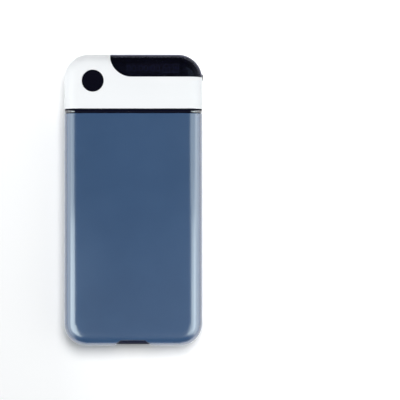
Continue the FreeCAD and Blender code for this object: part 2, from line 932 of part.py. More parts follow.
def screw_bush():
    """The plain bearing of the screw's free end."""
    start = (bush_left, axis_y, axis_height)
    ring = rod(start, X_AXIS, bush_length, bush_radius - run_gap / 2)
    return ring.cut(rod(start, X_AXIS, bush_length, journal_radius + run_gap))


def drive_nut():
    """The flanged nut in the bar's lug."""
    start = (lug_left - nut_flange_thickness, axis_y, axis_height)
    flange = rod(start, X_AXIS, nut_flange_thickness, nut_flange_radius)
    length = nut_flange_thickness + nut_barrel
    barrel = rod(start, X_AXIS, length, nut_barrel_radius)
    return joined([flange, barrel]).cut(rod(start, X_AXIS, length, thread_radius + run_gap))


def lock_bar():
    """The flat bar with two hooked fingers and the lug that the nut pushes."""
    flat = (plate_low, plate_high)
    bar_right = right_finger + finger_width
    pieces = [box((left_finger, bar_right), (bar_edge, bar_end), flat)]
    toe_length = bar_travel + finger_gap - toe_side_gap
    for head in hook_heads:
        finger_end = head - finger_gap - bar_travel
        toe_y = (toe_end - toe_width, toe_end)
        pieces.append(box((finger_end - finger_width, finger_end), (toe_y[0], bar_edge), flat))
        pieces.append(box((finger_end, finger_end + toe_length), toe_y, flat))
    tab_x = (lug_left, lug_left + tab_length)
    pieces.append(box(tab_x, (bar_end, axis_y + lug_half_width), flat))
    lug_x = (lug_left, lug_left + plate_thickness)
    lug_z = (plate_low, axis_height + lug_rise)
    pieces.append(box(lug_x, around(axis_y, lug_half_width), lug_z))
    start = (lug_left - past_case, axis_y, axis_height)
    hole = rod(start, X_AXIS, plate_thickness + 2 * past_case, nut_barrel_radius + run_gap)
    return joined(pieces).cut(hole)


# ------------------------------------------------------------------ electronics


def main_board():
    """The main circuit board, cut round the screw bosses."""
    z_range = (board_low, board_high)
    plan = case_plan(inside_inset(board_high) + inside_gap)
    board = prism(plan, z_range).common(whole_case((floor_end + board_floor_gap, case_end), z_range))
    cuts = [post(place, z_range, boss_radius + board_boss_gap) for place in boss_places]
    cuts += [post(place, z_range, board_screw_radius + run_gap) for place in board_posts()]
    return without(board, cuts)


def board_parts():
    """The chips and small parts on the main board."""
    row_y = floor_end + board_floor_gap + part_row_gap
    small_right = board_posts()[1][0] - post_radius - small_part_pitch
    small_left = small_right - small_part_count * small_part_pitch
    chip_x = small_left - chip_size
    chip_z = (board_high, board_high + chip_height)
    parts = [
        box((chip_x, chip_x + chip_size), (row_y, row_y + chip_size), chip_z),
        box((strap_left, strap_left + driver_size), (row_y, row_y + driver_size), chip_z),
    ]
    small_z = (board_high, board_high + small_part_height)
    for i in range(small_part_count):
        left = small_right - small_part_length - i * small_part_pitch
        parts.append(box((left, left + small_part_length), (row_y, row_y + small_part_width), small_z))
    return parts


def tact_switch():
    """The push switch's body under the button."""
    half = tact_size / 2
    tact_z = (board_high, board_high + tact_height)
    body = box(around(button_x, half), around(button_y, half), tact_z)
    well = (board_high + tact_height - tact_well, above)
    return body.cut(post((button_x, button_y), well, plunger_radius + run_gap))


def tact_plunger():
    """The push switch's plunger."""
    low = board_high + tact_height - tact_well + button_travel + run_gap
    return post((button_x, button_y), (low, plunger_high), plunger_radius)


def buzzer():
    """The round buzzer under the board."""
    place = (battery_right - battery_width / 2, lower_boss_y + boss_radius)
    can = post(place, (board_low - buzzer_height, board_low), buzzer_radius)
    mouth_z = (board_low - buzzer_height, board_low - buzzer_height + buzzer_hole_depth)
    return can.cut(post(place, mouth_z, buzzer_hole_radius))


def battery_cell():
    """The flat battery on the deck."""
    plan = rectangle((battery_left, battery_right), (battery_edge, battery_end), battery_corner)
    return prism(plan, (battery_low, battery_high))


def bent_lead(start, corner, end):
    """A wire of two straight runs and one tangent bend."""
    points = [Vector(*start), Vector(*corner), Vector(*end)]
    bend_start, middle, bend_end = corner_arc(*points, lead_bend)
    path = Part.Wire(
        [
            Part.LineSegment(points[0], bend_start).toShape(),
            Part.Arc(bend_start, middle, bend_end).toShape(),
            Part.LineSegment(bend_end, points[2]).toShape(),
        ]
    )
    ring = Part.Wire(Part.makeCircle(lead_radius, points[0], points[1] - points[0]))
    return path.makePipeShell([ring], True, False)


def battery_leads():
    """The battery's two wires, up to the main board."""
    height = battery_low + battery_height / 2
    leads = []
    for i in range(2):
        y = battery_edge + lead_first + i * lead_pitch
        x = battery_left - lead_run
        leads.append(bent_lead((battery_left, y, height), (x, y, height), (x, y, board_low)))
    return leads


def motor_leads():
    """The motor's two wires, from its tabs up to the main board."""
    x = motor_right + terminal_length / 2
    low = axis_height + terminal_thickness / 2
    sides = (-1, 1)
    return [post((x, axis_y + side * terminal_spread), (low, board_low), lead_radius) for side in sides]


def charge_board():
    """The small board that carries the charging receptacle."""
    x_range = (charge_left, charge_left + charge_board_width)
    return box(x_range, (charge_edge, charge_end), (charge_low, charge_high))


def usb_receptacle():
    """The charging receptacle: a thin shell round a tongue."""
    body = prism_along_y(usb_section(0.0), (usb_end - usb_length, usb_end))
    cavity = prism_along_y(usb_section(-usb_skin), (usb_end - usb_depth, usb_end + past_case))
    tongue_y = (usb_end - usb_length, usb_end - usb_length + usb_tongue_length + usb_skin)
    tongue_z = around(charge_high + usb_height / 2, usb_tongue_thickness / 2)
    tongue = box(around(usb_x, usb_tongue_width / 2), tongue_y, tongue_z)
    return joined([body.cut(cavity), tongue])


def display_panel():
    """The display module."""
    return prism(panel_plan(0.0), (panel_low, panel_high))


def display_gasket():
    """The foam frame between the display and the front cover."""
    frame = prism(panel_plan(-gasket_inset), (panel_high, rim_low))
    return frame.cut(prism(panel_plan(-display_margin), (panel_high, rim_low)))


def display_flex():
    """The display's ribbon, from its left end down to the board."""
    right = panel_left
    left = right - flex_reach
    top = panel_low + panel_thickness / 2
    corners = [
        (right, top, 0.0),
        (left, top, 0.0),
        (left, board_high + flex_thickness, 0.0),
        (left - flex_foot, board_high + flex_thickness, 0.0),
        (left - flex_foot, board_high, 0.0),
        (left + flex_thickness, board_high, 0.0),
        (left + flex_thickness, top - flex_thickness, 0.0),
        (right, top - flex_thickness, 0.0),
    ]
    middle = panel_edge + panel_width / 2
    return prism_along_y(corners, around(middle, flex_width / 2))


# ------------------------------------------------------------------ button and slider


def button_cap():
    """The push button: a flush disc with a retaining flange and a nub underneath."""
    place = (button_x, button_y)
    disc = post(place, (button_flange_high, case_thickness), button_radius)
    top = [e for e in disc.Edges if e.BoundBox.ZMin > case_thickness - seat_gap]
    disc = disc.makeFillet(button_rim, top)
    flange = post(place, (button_flange_low, button_flange_high), button_flange_radius)
    nub = post(place, (plunger_high, button_flange_low), button_nub_radius)
    return joined([disc, flange, nub])


def slider_bezel():
    """The frame round the slider's slot, flush with the right side."""
    frame = prism_along_x(bezel_section(bezel_gap), (half_width - wall, half_width)).common(outside)
    slot = rectangle((slot_edge, slot_end), around(middle_height, knob_height / 2 + knob_gap))
    return frame.cut(prism_along_x(slot, (half_width - wall - past_case, half_width + past_case)))


def slider_knob():
    """The knob, with a flange behind the wall and a stem into the switch."""
    y_range = (knob_edge, knob_edge + knob_length)
    knob_z = around(middle_height, knob_height / 2)
    flange_high = half_width - wall - knob_flange_gap
    flange_low = flange_high - knob_flange_thickness
    knob = prism_along_x(rectangle(y_range, knob_z, knob_rim), (flange_high, half_width + knob_proud))
    flange_y = (y_range[0] - knob_flange_margin, y_range[1] + knob_flange_margin)
    flange_z = around(middle_height, knob_height / 2 + knob_flange_margin)
    flange = box((flange_low, flange_high), flange_y, flange_z)
    stem_x = (switch_outer - stem_depth, flange_low)
    stem_y = around(knob_edge + knob_length / 2, stem_width / 2)
    stem = box(stem_x, stem_y, around(middle_height, stem_height / 2))
    return joined([knob, flange, stem])


def switch_body():
    """The slide switch's body, with the channel that the stem runs in."""
    body_y = around(switch_middle, switch_length / 2)
    body = box((switch_inner, switch_outer), body_y, around(middle_height, switch_height / 2))
    stem_low, stem_high = around(knob_edge + knob_length / 2, stem_width / 2 + knob_gap)
    channel_x = (switch_outer - stem_depth - knob_gap, switch_outer + past_case)
    channel_z = around(middle_height, stem_height / 2 + knob_gap)
    return body.cut(box(channel_x, (stem_low - slider_travel, stem_high), channel_z))


def switch_pins():
    """The slide switch's pins, up to the main board."""
    middle_x = (switch_inner + switch_outer) / 2
    first = switch_middle - switch_pin_pitch * (switch_pin_count - 1) / 2
    pins = []
    for i in range(switch_pin_count):
        y_range = around(first + i * switch_pin_pitch, switch_pin_size / 2)
        pin_z = (middle_height + switch_height / 2, board_low)
        pins.append(box(around(middle_x, switch_pin_size / 2), y_range, pin_z))
    return pins


# ------------------------------------------------------------------ files


def parts():
    """Every node by name: one solid, or a list of equal ones."""
    return {
        "sleeve_front_shell": sleeve_front_shell(),
        "sleeve_back_shell": sleeve_back_shell(),
        "neck_collar": neck_collar(),
        "keeper_plate": keeper_plate(),
        "keeper_rivets": keeper_rivets(),
        "front_pad": front_pad(),
        "back_pad": back_pad(),
        "left_side_pad": side_pad(-1),
        "right_side_pad": side_pad(1),
        "end_pads": end_pads(),
        "cable_port": cable_port(),
        "cap_front_cover": cap_front_cover(),
        "cap_back_cover": cap_back_cover(),
        "display_window": display_window(),
        "cap_screws": cap_screws(),
        "cap_chassis": cap_chassis(),
        "phone_end_pad": phone_end_pad(),
        "board_screws": board_screws(),
        "lock_motor": lock_motor(),
        "motor_terminals": motor_terminals(),
        "motor_gearbox": motor_gearbox(),
        "motor_strap": motor_strap(),
        "screw_bush": screw_bush(),
        "lead_screw": lead_screw(),
        "drive_nut": drive_nut(),
        "lock_bar": lock_bar(),
        "main_board": main_board(),
        "board_parts": board_parts(),
        "tact_switch": tact_switch(),
        "tact_plunger": tact_plunger(),
        "buzzer": buzzer(),
        "battery_cell": battery_cell(),
        "battery_leads": battery_leads(),
        "motor_leads": motor_leads(),
        "charge_board": charge_board(),
        "usb_receptacle": usb_receptacle(),
        "display_panel": display_panel(),
        "display_gasket": display_gasket(),
        "display_flex": display_flex(),
        "button_cap": button_cap(),
        "slider_bezel": slider_bezel(),
        "slider_knob": slider_knob(),
        "switch_body": switch_body(),
        "switch_pins": switch_pins(),
    }


os.makedirs("parts", exist_ok=True)
for name, shape in parts().items():
    if isinstance(shape, list):
        shape = Part.makeCompound(shape)
    shape.exportStep(f"parts/{name}.step")
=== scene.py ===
import json
import logging
import math
from contextlib import contextmanager
from dataclasses import dataclass
from enum import Enum
from typing import Iterable, Iterator, Sequence

import bmesh
import bpy
from mathutils import Matrix, Vector


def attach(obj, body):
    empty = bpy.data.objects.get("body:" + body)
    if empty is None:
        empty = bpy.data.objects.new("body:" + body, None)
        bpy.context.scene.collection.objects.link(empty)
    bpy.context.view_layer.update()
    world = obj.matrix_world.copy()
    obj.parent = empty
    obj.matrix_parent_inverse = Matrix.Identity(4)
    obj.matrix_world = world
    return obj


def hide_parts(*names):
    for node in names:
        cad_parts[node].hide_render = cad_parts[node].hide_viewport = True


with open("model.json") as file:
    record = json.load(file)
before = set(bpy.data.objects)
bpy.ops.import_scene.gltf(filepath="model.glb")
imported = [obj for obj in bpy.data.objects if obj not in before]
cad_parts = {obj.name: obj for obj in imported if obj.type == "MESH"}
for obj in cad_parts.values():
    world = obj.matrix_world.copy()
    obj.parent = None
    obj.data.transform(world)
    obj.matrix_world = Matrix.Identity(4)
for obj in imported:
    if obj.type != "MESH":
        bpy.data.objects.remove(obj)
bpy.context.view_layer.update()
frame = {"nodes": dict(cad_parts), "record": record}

# Dressed model of a timed lock case for a phone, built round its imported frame.
# Meshes are drawn in millimetres and scaled to metres when a piece is finished.
# +X runs across the case to the slider, +Y to the cap's end, +Z up through the front.

log = logging.getLogger("lock_case")
MM = 0.001
SLOTS = {row["node"]: row["material_slot"] for row in frame["record"]["subparts"]}

Pair = tuple[float, float]
Point = tuple[float, float, float]
Colour = tuple[float, float, float]
Piece = bpy.types.Object
Material = bpy.types.Material
Node = bpy.types.Node
Socket = bpy.types.NodeSocket
Tree = bpy.types.NodeTree
Value = Socket | float | Sequence[float]


class Cut(Enum):
    """How one solid acts on another."""

    TAKE = "DIFFERENCE"
    KEEP = "INTERSECT"
    JOIN = "UNION"


Step = tuple[Cut, Piece]


class Axis(Enum):
    """The axis that a section is drawn out along, as the order in which it gives x, y and z."""

    X = (2, 0, 1)
    Y = (0, 2, 1)
    Z = (0, 1, 2)

    def point(self, across: float, up: float, out: float) -> Vector:
        """The point at two places in the section and one along the axis."""
        return Vector([(across, up, out)[i] for i in self.value])


# ------------------------------------------------------------------ mesh helpers


@contextmanager
def edited(mesh: bpy.types.Mesh) -> Iterator[bmesh.types.BMesh]:
    """Opens a mesh for editing, and writes it back afterwards.

    Args:
        mesh: The mesh.

    Returns:
        The open mesh.
    """
    work = bmesh.new()
    work.from_mesh(mesh)
    yield work
    work.to_mesh(mesh)
    work.free()


def mesh_object(
    points: Iterable[Sequence[float]], faces: Iterable[Sequence[int]], name: str = "solid"
) -> Piece:
    """Makes an object from points and faces, with its normals outwards.

    Args:
        points: Corners in millimetres.
        faces: Corner numbers of each face.
        name: The object's name.

    Returns:
        The linked object.
    """
    mesh = bpy.data.meshes.new(name)
    mesh.from_pydata([tuple(p) for p in points], [], [tuple(f) for f in faces])
    with edited(mesh) as work:
        bmesh.ops.remove_doubles(work, verts=work.verts, dist=1e-5)
        bmesh.ops.recalc_face_normals(work, faces=work.faces)
    return linked(mesh)


def linked(mesh: bpy.types.Mesh) -> Piece:
    """Puts an object that holds a mesh, and has its name, into the scene.

    Args:
        mesh: The mesh.

    Returns:
        The object.
    """
    piece = bpy.data.objects.new(mesh.name, mesh)
    bpy.context.scene.collection.objects.link(piece)
    return piece


def discard(piece: Piece) -> None:
    """Removes an object and its mesh.

    Args:
        piece: The object.
    """
    mesh = piece.data
    bpy.data.objects.remove(piece)
    bpy.data.meshes.remove(mesh)


def bake(piece: Piece) -> Piece:
    """Turns a piece's modifiers into its mesh.

    Args:
        piece: The piece with modifiers.

    Returns:
        The same piece, with a plain mesh.
    """
    graph = bpy.context.evaluated_depsgraph_get()
    mesh = bpy.data.meshes.new_from_object(piece.evaluated_get(graph), depsgraph=graph)
    piece.modifiers.clear()
    old = piece.data
    piece.data = mesh
    bpy.data.meshes.remove(old)
    return piece


def combine(piece: Piece, *steps: Step) -> Piece:
    """Applies other solids to a piece, one after another, and removes them.

    Args:
        piece: The solid that is worked on.
        steps: What is done, and with which solid.

    Returns:
        The worked piece.
    """
    for cut, tool in steps:
        change = piece.modifiers.new("cut", "BOOLEAN")
        change.operation = cut.value
        change.solver = "MANIFOLD"
        change.object = tool
    bake(piece)
    for _, tool in steps:
        discard(tool)
    return piece


def soften(piece: Piece, width: float, segments: int = 2, angle: float = 38.0) -> Piece:
    """Rounds a piece's sharp edges and evens its shading.

    Args:
        piece: The piece, in millimetres.
        width: How wide the round is.
        segments: Faces across the round.
        angle: Edges sharper than this many degrees are rounded.

    Returns:
        The softened piece.
    """
    with edited(piece.data) as work:
        bmesh.ops.remove_doubles(work, verts=work.verts, dist=2e-4)
        bmesh.ops.dissolve_degenerate(work, edges=work.edges, dist=2e-4)
    for face in piece.data.polygons:
        face.use_smooth = True
    bevel = piece.modifiers.new("round", "BEVEL")
    bevel.width = width
    bevel.segments = segments
    bevel.limit_method = "ANGLE"
    bevel.angle_limit = math.radians(angle)
    bevel.miter_outer = "MITER_ARC"
    shade = piece.modifiers.new("shade", "WEIGHTED_NORMAL")
    shade.keep_sharp = False
    shade.weight = 80
    return bake(piece)


def crease(piece: Piece, angle: float = 35.0) -> Piece:
    """Shades a piece smooth, but for its sharp edges.

    Args:
        piece: The piece.
        angle: Edges sharper than this many degrees stay sharp.

    Returns:
        The same piece.
    """
    piece.data.shade_smooth()
    piece.data.set_sharp_from_angle(angle=math.radians(angle))
    return piece


def finish_piece(
    piece: Piece, name: str, body: str, slot: str, nodes: Sequence[str] = (), finish: str = ""
) -> Piece:
    """Names a piece, scales it to metres, dresses it and ties it to a body.

    Args:
        piece: The piece, in millimetres.
        name: Its name.
        body: The body that it rides on.
        slot: The record's material slot.
        nodes: The frame's nodes that it stands for.
        finish: What it is made of, where that isn't the slot's own finish.

    Returns:
        The finished piece.
    """
    piece.name = piece.data.name = name
    piece.data.transform(Matrix.Scale(MM, 4))
    piece.data.materials.clear()
    piece.data.materials.append(MATERIALS[finish or slot])
    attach(piece, body)
    if nodes:
        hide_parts(*nodes)
    log.info("%s rides on %s: %d faces", piece.name, body, len(piece.data.polygons))
    return piece


def from_node(node: str, width: float = 0.0) -> Piece:
    """A merged copy of a frame node, in millimetres, with its edges rounded, or only shaded smooth with
    sharp creases when no width is given.

    Args:
        node: The node that is copied.
        width: How wide its edges' round is.

    Returns:
        The copy.
    """
    mesh = frame["nodes"][node].data.copy()
    mesh.transform(Matrix.Scale(1 / MM, 4))
    with edited(mesh) as work:
        bmesh.ops.remove_doubles(work, verts=work.verts, dist=1e-3)
        bmesh.ops.dissolve_limit(work, angle_limit=math.radians(0.5), verts=work.verts, edges=work.edges)
    piece = linked(mesh)
    return soften(piece, width) if width else crease(piece)


def dress_copy(node: str, name: str, width: float, body: str = "cap") -> Piece:
    """Dresses a copy of a frame node in the finish of the node's own slot."""
    return finish_piece(from_node(node, width), name, body, SLOTS[node], [node])


def boxes_of(piece: Piece) -> list[tuple[Vector, Vector]]:
    """The lowest and highest corner of each separate solid in a piece.

    Args:
        piece: The piece.

    Returns:
        A pair of corners for each solid, from the left to the right.
    """
    work = bmesh.new()
    work.from_mesh(piece.data)
    left = set(work.verts)
    boxes = []
    while left:
        queue = [left.pop()]
        low, high = queue[0].co.copy(), queue[0].co.copy()
        while queue:
            corner = queue.pop()
            low = Vector(map(min, low, corner.co))
            high = Vector(map(max, high, corner.co))
            near = {edge.other_vert(corner) for edge in corner.link_edges} & left
            left -= near
            queue.extend(near)
        boxes.append((low, high))
    work.free()
    return sorted(boxes, key=lambda box: tuple(box[0]))


# ------------------------------------------------------------------ sections and solids


def about(middle: float, half: float) -> Pair:
    """The range of a half length about a middle."""
    return (middle - half, middle + half)


def widened(span: Pair, margin: float) -> Pair:
    """A range that is longer by a margin at both ends."""
    return (span[0] - margin, span[1] + margin)


def quarter(middle: Pair, radius: float, start: float, steps: int) -> list[Pair]:
    """The points of a quarter turn, anticlockwise from an angle in degrees."""
    turns = [math.radians(start + 90 * i / steps) for i in range(steps + 1)]
    return [(middle[0] + radius * math.cos(t), middle[1] + radius * math.sin(t)) for t in turns]


def disc(place: Pair, radius: float, count: int = 64) -> list[Pair]:
    """The corners of a round plan."""
    turns = [2 * math.pi * i / count for i in range(count)]
    return [(place[0] + radius * math.cos(t), place[1] + radius * math.sin(t)) for t in turns]


def rounded(u: Pair, v: Pair, radius: float, steps: int = 8) -> list[Pair]:
    """The corners of a rectangle with rounded corners.

    Args:
        u: Its range across.
        v: Its range up.
        radius: The corners' radius.
        steps: Edges in each corner.

    Returns:
        The corners, anticlockwise.
    """
    left, right = u[0] + radius, u[1] - radius
    low, high = v[0] + radius, v[1] - radius
    corners = (((right, low), -90), ((right, high), 0), ((left, high), 90), ((left, low), 180))
    return [point for middle, start in corners for point in quarter(middle, radius, start, steps)]


def loft(rings: Sequence[Sequence[Vector]]) -> Piece:
    """A closed solid through rings of equal size, capped at both ends.

    Args:
        rings: The rings, in order.

    Returns:
        The solid.
    """
    count = len(rings[0])
    faces = [list(range(count)), [(len(rings) - 1) * count + i for i in range(count)]]
    for row in range(len(rings) - 1):
        low, high = row * count, (row + 1) * count
        for i in range(count):
            j = (i + 1) % count
            faces.append([low + i, low + j, high + j, high + i])
    return mesh_object([p for ring in rings for p in ring], faces)


def prism(section: Sequence[Pair], reach: Pair, axis: Axis = Axis.Z) -> Piece:
    """A section drawn out along an axis: (x, y) along Z, (y, z) along X and (x, z) along Y."""
    return loft([[axis.point(u, v, end) for u, v in section] for end in reach])


def block(x: Pair, y: Pair, z: Pair) -> Piece:
    """A plain block that cuts or joins others."""
    return prism([(x[0], y[0]), (x[1], y[0]), (x[1], y[1]), (x[0], y[1])], z)


def peg(place: Pair, radius: float, z: Pair, count: int = 32) -> Piece:
    """A round upright peg that cuts or joins others."""
    return prism(disc(place, radius, count), z)


# ------------------------------------------------------------------ shader helpers


class Graph:
    """Adds and links the nodes of one tree."""

    def __init__(self, tree: Tree) -> None:
        """Starts on a tree."""
        self.tree = tree

    def feed(self, node: Node, values: dict[str | int, Value]) -> None:
        """Gives a node's inputs their values, or links them to sockets.

        Args:
            node: The node.
            values: Values and sockets by the input's name or number.
        """
        for key, value in values.items():
            if isinstance(value, Socket):
                self.tree.links.new(value, node.inputs[key])
            else:
                node.inputs[key].default_value = value

    def add(self, kind: str, values: dict[str | int, Value] | None = None, **settings: object) -> Node:
        """Adds a node.

        Args:
            kind: The node's type.
            values: Its inputs by name or number.
            settings: The node's own properties.

        Returns:
            The node.
        """
        node = self.tree.nodes.new(kind)
        for name, value in settings.items():
            setattr(node, name, value)
        self.feed(node, values or {})
        return node

    def math(self, operation: str, first: Value, second: Value = 0.0) -> Socket:
        """The result of a Math node."""
        return self.add("ShaderNodeMath", {0: first, 1: second}, operation=operation).outputs[0]

    def vectors(self, operation: str, first: Value, second: Value = (0.0, 0.0, 0.0)) -> Node:
        """A Vector Math node."""
        return self.add("ShaderNodeVectorMath", {0: first, 1: second}, operation=operation)

    def ramp(self, value: Value, within: Pair, to: Pair = (0.0, 1.0)) -> Socket:
        """A value spread from one range to another, and held at its ends."""
        ends = {"From Min": within[0], "From Max": within[1], "To Min": to[0], "To Max": to[1]}
        return self.add("ShaderNodeMapRange", {"Value": value, **ends}).outputs["Result"]

    def blend(self, share: Value, first: Value, second: Value) -> Socket:
        """Two colours mixed by a share, which is how much of the second one shows."""
        one, two = (c if isinstance(c, Socket) else (*c, 1.0) for c in (first, second))
        return self.add("ShaderNodeMix", {0: share, 6: one, 7: two}, data_type="RGBA").outputs[2]

    def place(self) -> Socket:
        """Where a point lies on its object."""
        return self.add("ShaderNodeTexCoord").outputs["Object"]

    def noise(self, scale: Value, place: Value | None = None, **more: float) -> Socket:
        """The strength of a noise, on the object's own coordinates unless others are given."""
        values = {"Vector": place or self.place(), "Scale": scale, **more}
        return self.add("ShaderNodeTexNoise", values).outputs["Fac"]

    def cells(self, scale: Value) -> Socket:
        """How far a point lies from the middle of its cell."""
        values = {"Vector": self.place(), "Scale": scale}
        return self.add("ShaderNodeTexVoronoi", values).outputs["Distance"]

    def bump(self, height: Socket, strength: float, distance: float) -> Socket:
        """A normal that follows a height."""
        values = {"Height": height, "Strength": strength, "Distance": distance}
        return self.add("ShaderNodeBump", values).outputs[0]

    def rays(self, *kinds: str) -> Socket:
        """1 for a ray of one of some kinds, and 0 for any other.

        Args:
            kinds: The kinds, as the Light Path node names them.

        Returns:
            The value.
        """
        path = self.add("ShaderNodeLightPath").outputs
        level: Value = 0.0
        for kind in kinds:
            level = self.math("MAXIMUM", path[f"Is {kind} Ray"], level)
        return level

    def effect(self, tree: Tree, **values: float) -> Node:
        """Places a shared effect.

        Args:
            tree: The effect's group.
            values: Its inputs by name.

        Returns:
            The group's node.
        """
        node = self.add("ShaderNodeGroup", node_tree=tree)
        self.feed(node, {label.replace("_", " "): value for label, value in values.items()})
        return node


def new_group(name: str, inputs: dict[str, float], outputs: Sequence[str]) -> tuple[Graph, dict, Node]:
    """Starts a shader group with named sockets that hold values.

    Args:
        name: The group's name.
        inputs: Each input's default.
        outputs: The outputs.

    Returns:
        The graph, its input sockets, and the node that takes its outputs.
    """
    tree = bpy.data.node_groups.new(name, "ShaderNodeTree")
    for label, value in inputs.items():
        tree.interface.new_socket(label, in_out="INPUT", socket_type="NodeSocketFloat").default_value = value
    for label in outputs:
        tree.interface.new_socket(label, in_out="OUTPUT", socket_type="NodeSocketFloat")
    given = tree.nodes.new("NodeGroupInput").outputs
    return Graph(tree), {label: given[label] for label in inputs}, tree.nodes.new("NodeGroupOutput")


@dataclass
class Effects:
    """The surface effects that several finishes share, each a group built once."""

    pit_share: float = 0.35
    cloud_band: Pair = (0.3, 0.7)
    edge_cosines: Pair = (0.995, 0.85)
    chip_band: Pair = (0.4, 0.62)
    upward: Pair = (0.2, 1.0)
    speck_band: Pair = (0.5, 0.75)
    tone_scale: float = 60.0

    def __post_init__(self) -> None:
        """Builds every group."""
        self.grain = self._grain()
        self.wear = self._wear()
        self.dust = self._dust()
        self.brush = self._brush()
        self.fibre = self._fibre()

    def _grain(self) -> Tree:
        """Fine moulded grain over a slow change of tone.

        Returns:
            The group.
        """
        inputs = {"Grain Scale": 2200.0, "Cloud Scale": 28.0}
        graph, given, out = new_group("moulded_grain", inputs, ("Height", "Cloud"))
        fine = graph.noise(given["Grain Scale"], Detail=3.0)
        pits = graph.math("MULTIPLY", graph.cells(given["Grain Scale"]), self.pit_share)
        cloud = graph.ramp(graph.noise(given["Cloud Scale"], Detail=4.0), self.cloud_band)
        graph.feed(out, {"Height": graph.math("ADD", fine, pits), "Cloud": cloud})
        return graph.tree

    def _wear(self) -> Tree:
        """Where edges are rubbed, broken up by a noise.

        Returns:
            The group.
        """
        inputs = {"Radius": 0.0005, "Break Scale": 600.0, "Amount": 1.0}
        graph, given, out = new_group("edge_wear", inputs, ("Mask",))
        plain = graph.add("ShaderNodeNewGeometry").outputs["Normal"]
        eased = graph.add("ShaderNodeBevel", {"Radius": given["Radius"]}, samples=4).outputs["Normal"]
        edge = graph.ramp(graph.vectors("DOT_PRODUCT", plain, eased).outputs["Value"], self.edge_cosines)
        chips = graph.ramp(graph.noise(given["Break Scale"], Detail=5.0), self.chip_band)
        broken = graph.math("MULTIPLY", edge, chips)
        graph.feed(out, {"Mask": graph.math("MULTIPLY", broken, given["Amount"])})
        return graph.tree

    def _dust(self) -> Tree:
        """A thin film of dust on what faces up.

        Returns:
            The group.
        """
        graph, given, out = new_group("dust_film", {"Scale": 240.0, "Amount": 0.1}, ("Mask",))
        normal = graph.add("ShaderNodeNewGeometry").outputs["Normal"]
        up = graph.ramp(graph.add("ShaderNodeSeparateXYZ", {0: normal}).outputs["Z"], self.upward)
        specks = graph.ramp(graph.noise(given["Scale"], Detail=8.0), self.speck_band)
        film = graph.math("MULTIPLY", up, specks)
        graph.feed(out, {"Mask": graph.math("MULTIPLY", film, given["Amount"])})
        return graph.tree

    def _brush(self) -> Tree:
        """Long fine lines, as rolling, turning or drawing leaves on metal.

        Returns:
            The group.
        """
        inputs = {"Along X": 40.0, "Along Y": 2600.0, "Along Z": 2600.0}
        graph, given, out = new_group("tool_lines", inputs, ("Lines",))
        scales = {axis: given[f"Along {axis}"] for axis in "XYZ"}
        stretch = graph.add("ShaderNodeCombineXYZ", scales).outputs[0]
        spot = graph.vectors("MULTIPLY", graph.place(), stretch).outputs[0]
        graph.feed(out, {"Lines": graph.noise(1.0, spot, Detail=5.0, Roughness=0.65)})
        return graph.tree

    def _fibre(self) -> Tree:
        """Tangled short fibres, as in felt, or open cells, as in foam.

        Returns:
            The group.
        """
        graph, given, out = new_group("fibre_mat", {"Scale": 900.0, "Cells": 0.0}, ("Height", "Tone"))
        warp = graph.noise(given["Scale"], Distortion=2.2)
        wave = {"Vector": graph.place(), "Scale": given["Scale"], "Distortion": 18.0}
        threads = graph.add("ShaderNodeTexWave", {**wave, "Detail": 4.0, "Detail Scale": 2.5}).outputs["Fac"]
        open_cells = graph.math("MULTIPLY", graph.cells(given["Scale"]), given["Cells"])
        height = graph.math("ADD", graph.math("MULTIPLY", warp, threads), open_cells)
        graph.feed(out, {"Height": height, "Tone": graph.noise(self.tone_scale, Detail=6.0)})
        return graph.tree


EFFECTS = Effects()


def new_material(name: str) -> tuple[Graph, Node, Material]:
    """Starts a material with a Principled shader.

    Args:
        name: The material's name.

    Returns:
        Its graph, its shader and itself.
    """
    material = bpy.data.materials.new(name)
    material.use_nodes = True
    return Graph(material.node_tree), material.node_tree.nodes["Principled BSDF"], material


# ------------------------------------------------------------------ finishes


@dataclass(frozen=True)
class Finish:
    """What every finish has: a name and a main colour."""

    name: str
    colour: Colour

    def tint(self, factor: float) -> Colour:
        """The main colour made lighter or darker."""
        return tuple(min(1.0, c * factor) for c in self.colour)

    def build(self) -> Material:
        """Makes the material."""
        raise NotImplementedError


@dataclass(frozen=True)
class Plastic(Finish):
    """Moulded or painted plastic with fine grain, a faint tone change, rubbed edges and dust."""

    roughness: float = 0.4
    coat: float = 0.0
    coat_roughness: float = 0.1
    ior: float = 1.5
    grain: float = 2200.0
    bump: float = 0.04
    tone: float = 0.05
    worn: float = 0.25
    dust: float = 0.03
    rubbed: float = 1.35
    patchy: float = 0.06
    film: Colour = (0.62, 0.62, 0.62)
    film_roughness: float = 0.6
    depth: float = 0.0002

    def build(self) -> Material:
        """Makes the material.

        Returns:
            The material.
        """
        graph, shader, material = new_material(self.name)
        grain = graph.effect(EFFECTS.grain, Grain_Scale=self.grain).outputs
        wear = graph.effect(EFFECTS.wear, Amount=self.worn).outputs["Mask"]
        dust = graph.effect(EFFECTS.dust, Amount=self.dust).outputs["Mask"]
        base = graph.blend(grain["Cloud"], self.tint(1 - self.tone), self.tint(1 + self.tone))
        colour = graph.blend(dust, graph.blend(wear, base, self.tint(self.rubbed)), self.film)
        spread = (self.roughness * (1 - self.patchy), self.roughness * (1 + self.patchy))
        rough = graph.ramp(grain["Cloud"], (0.0, 1.0), spread)
        dull = graph.math("ADD", rough, graph.math("MULTIPLY", dust, self.film_roughness))
        normal = graph.bump(grain["Height"], self.bump, self.depth)
        graph.feed(shader, {"Base Color": colour, "Roughness": dull, "Normal": normal, "IOR": self.ior})
        graph.feed(shader, {"Coat Weight": self.coat, "Coat Roughness": self.coat_roughness})
        return material


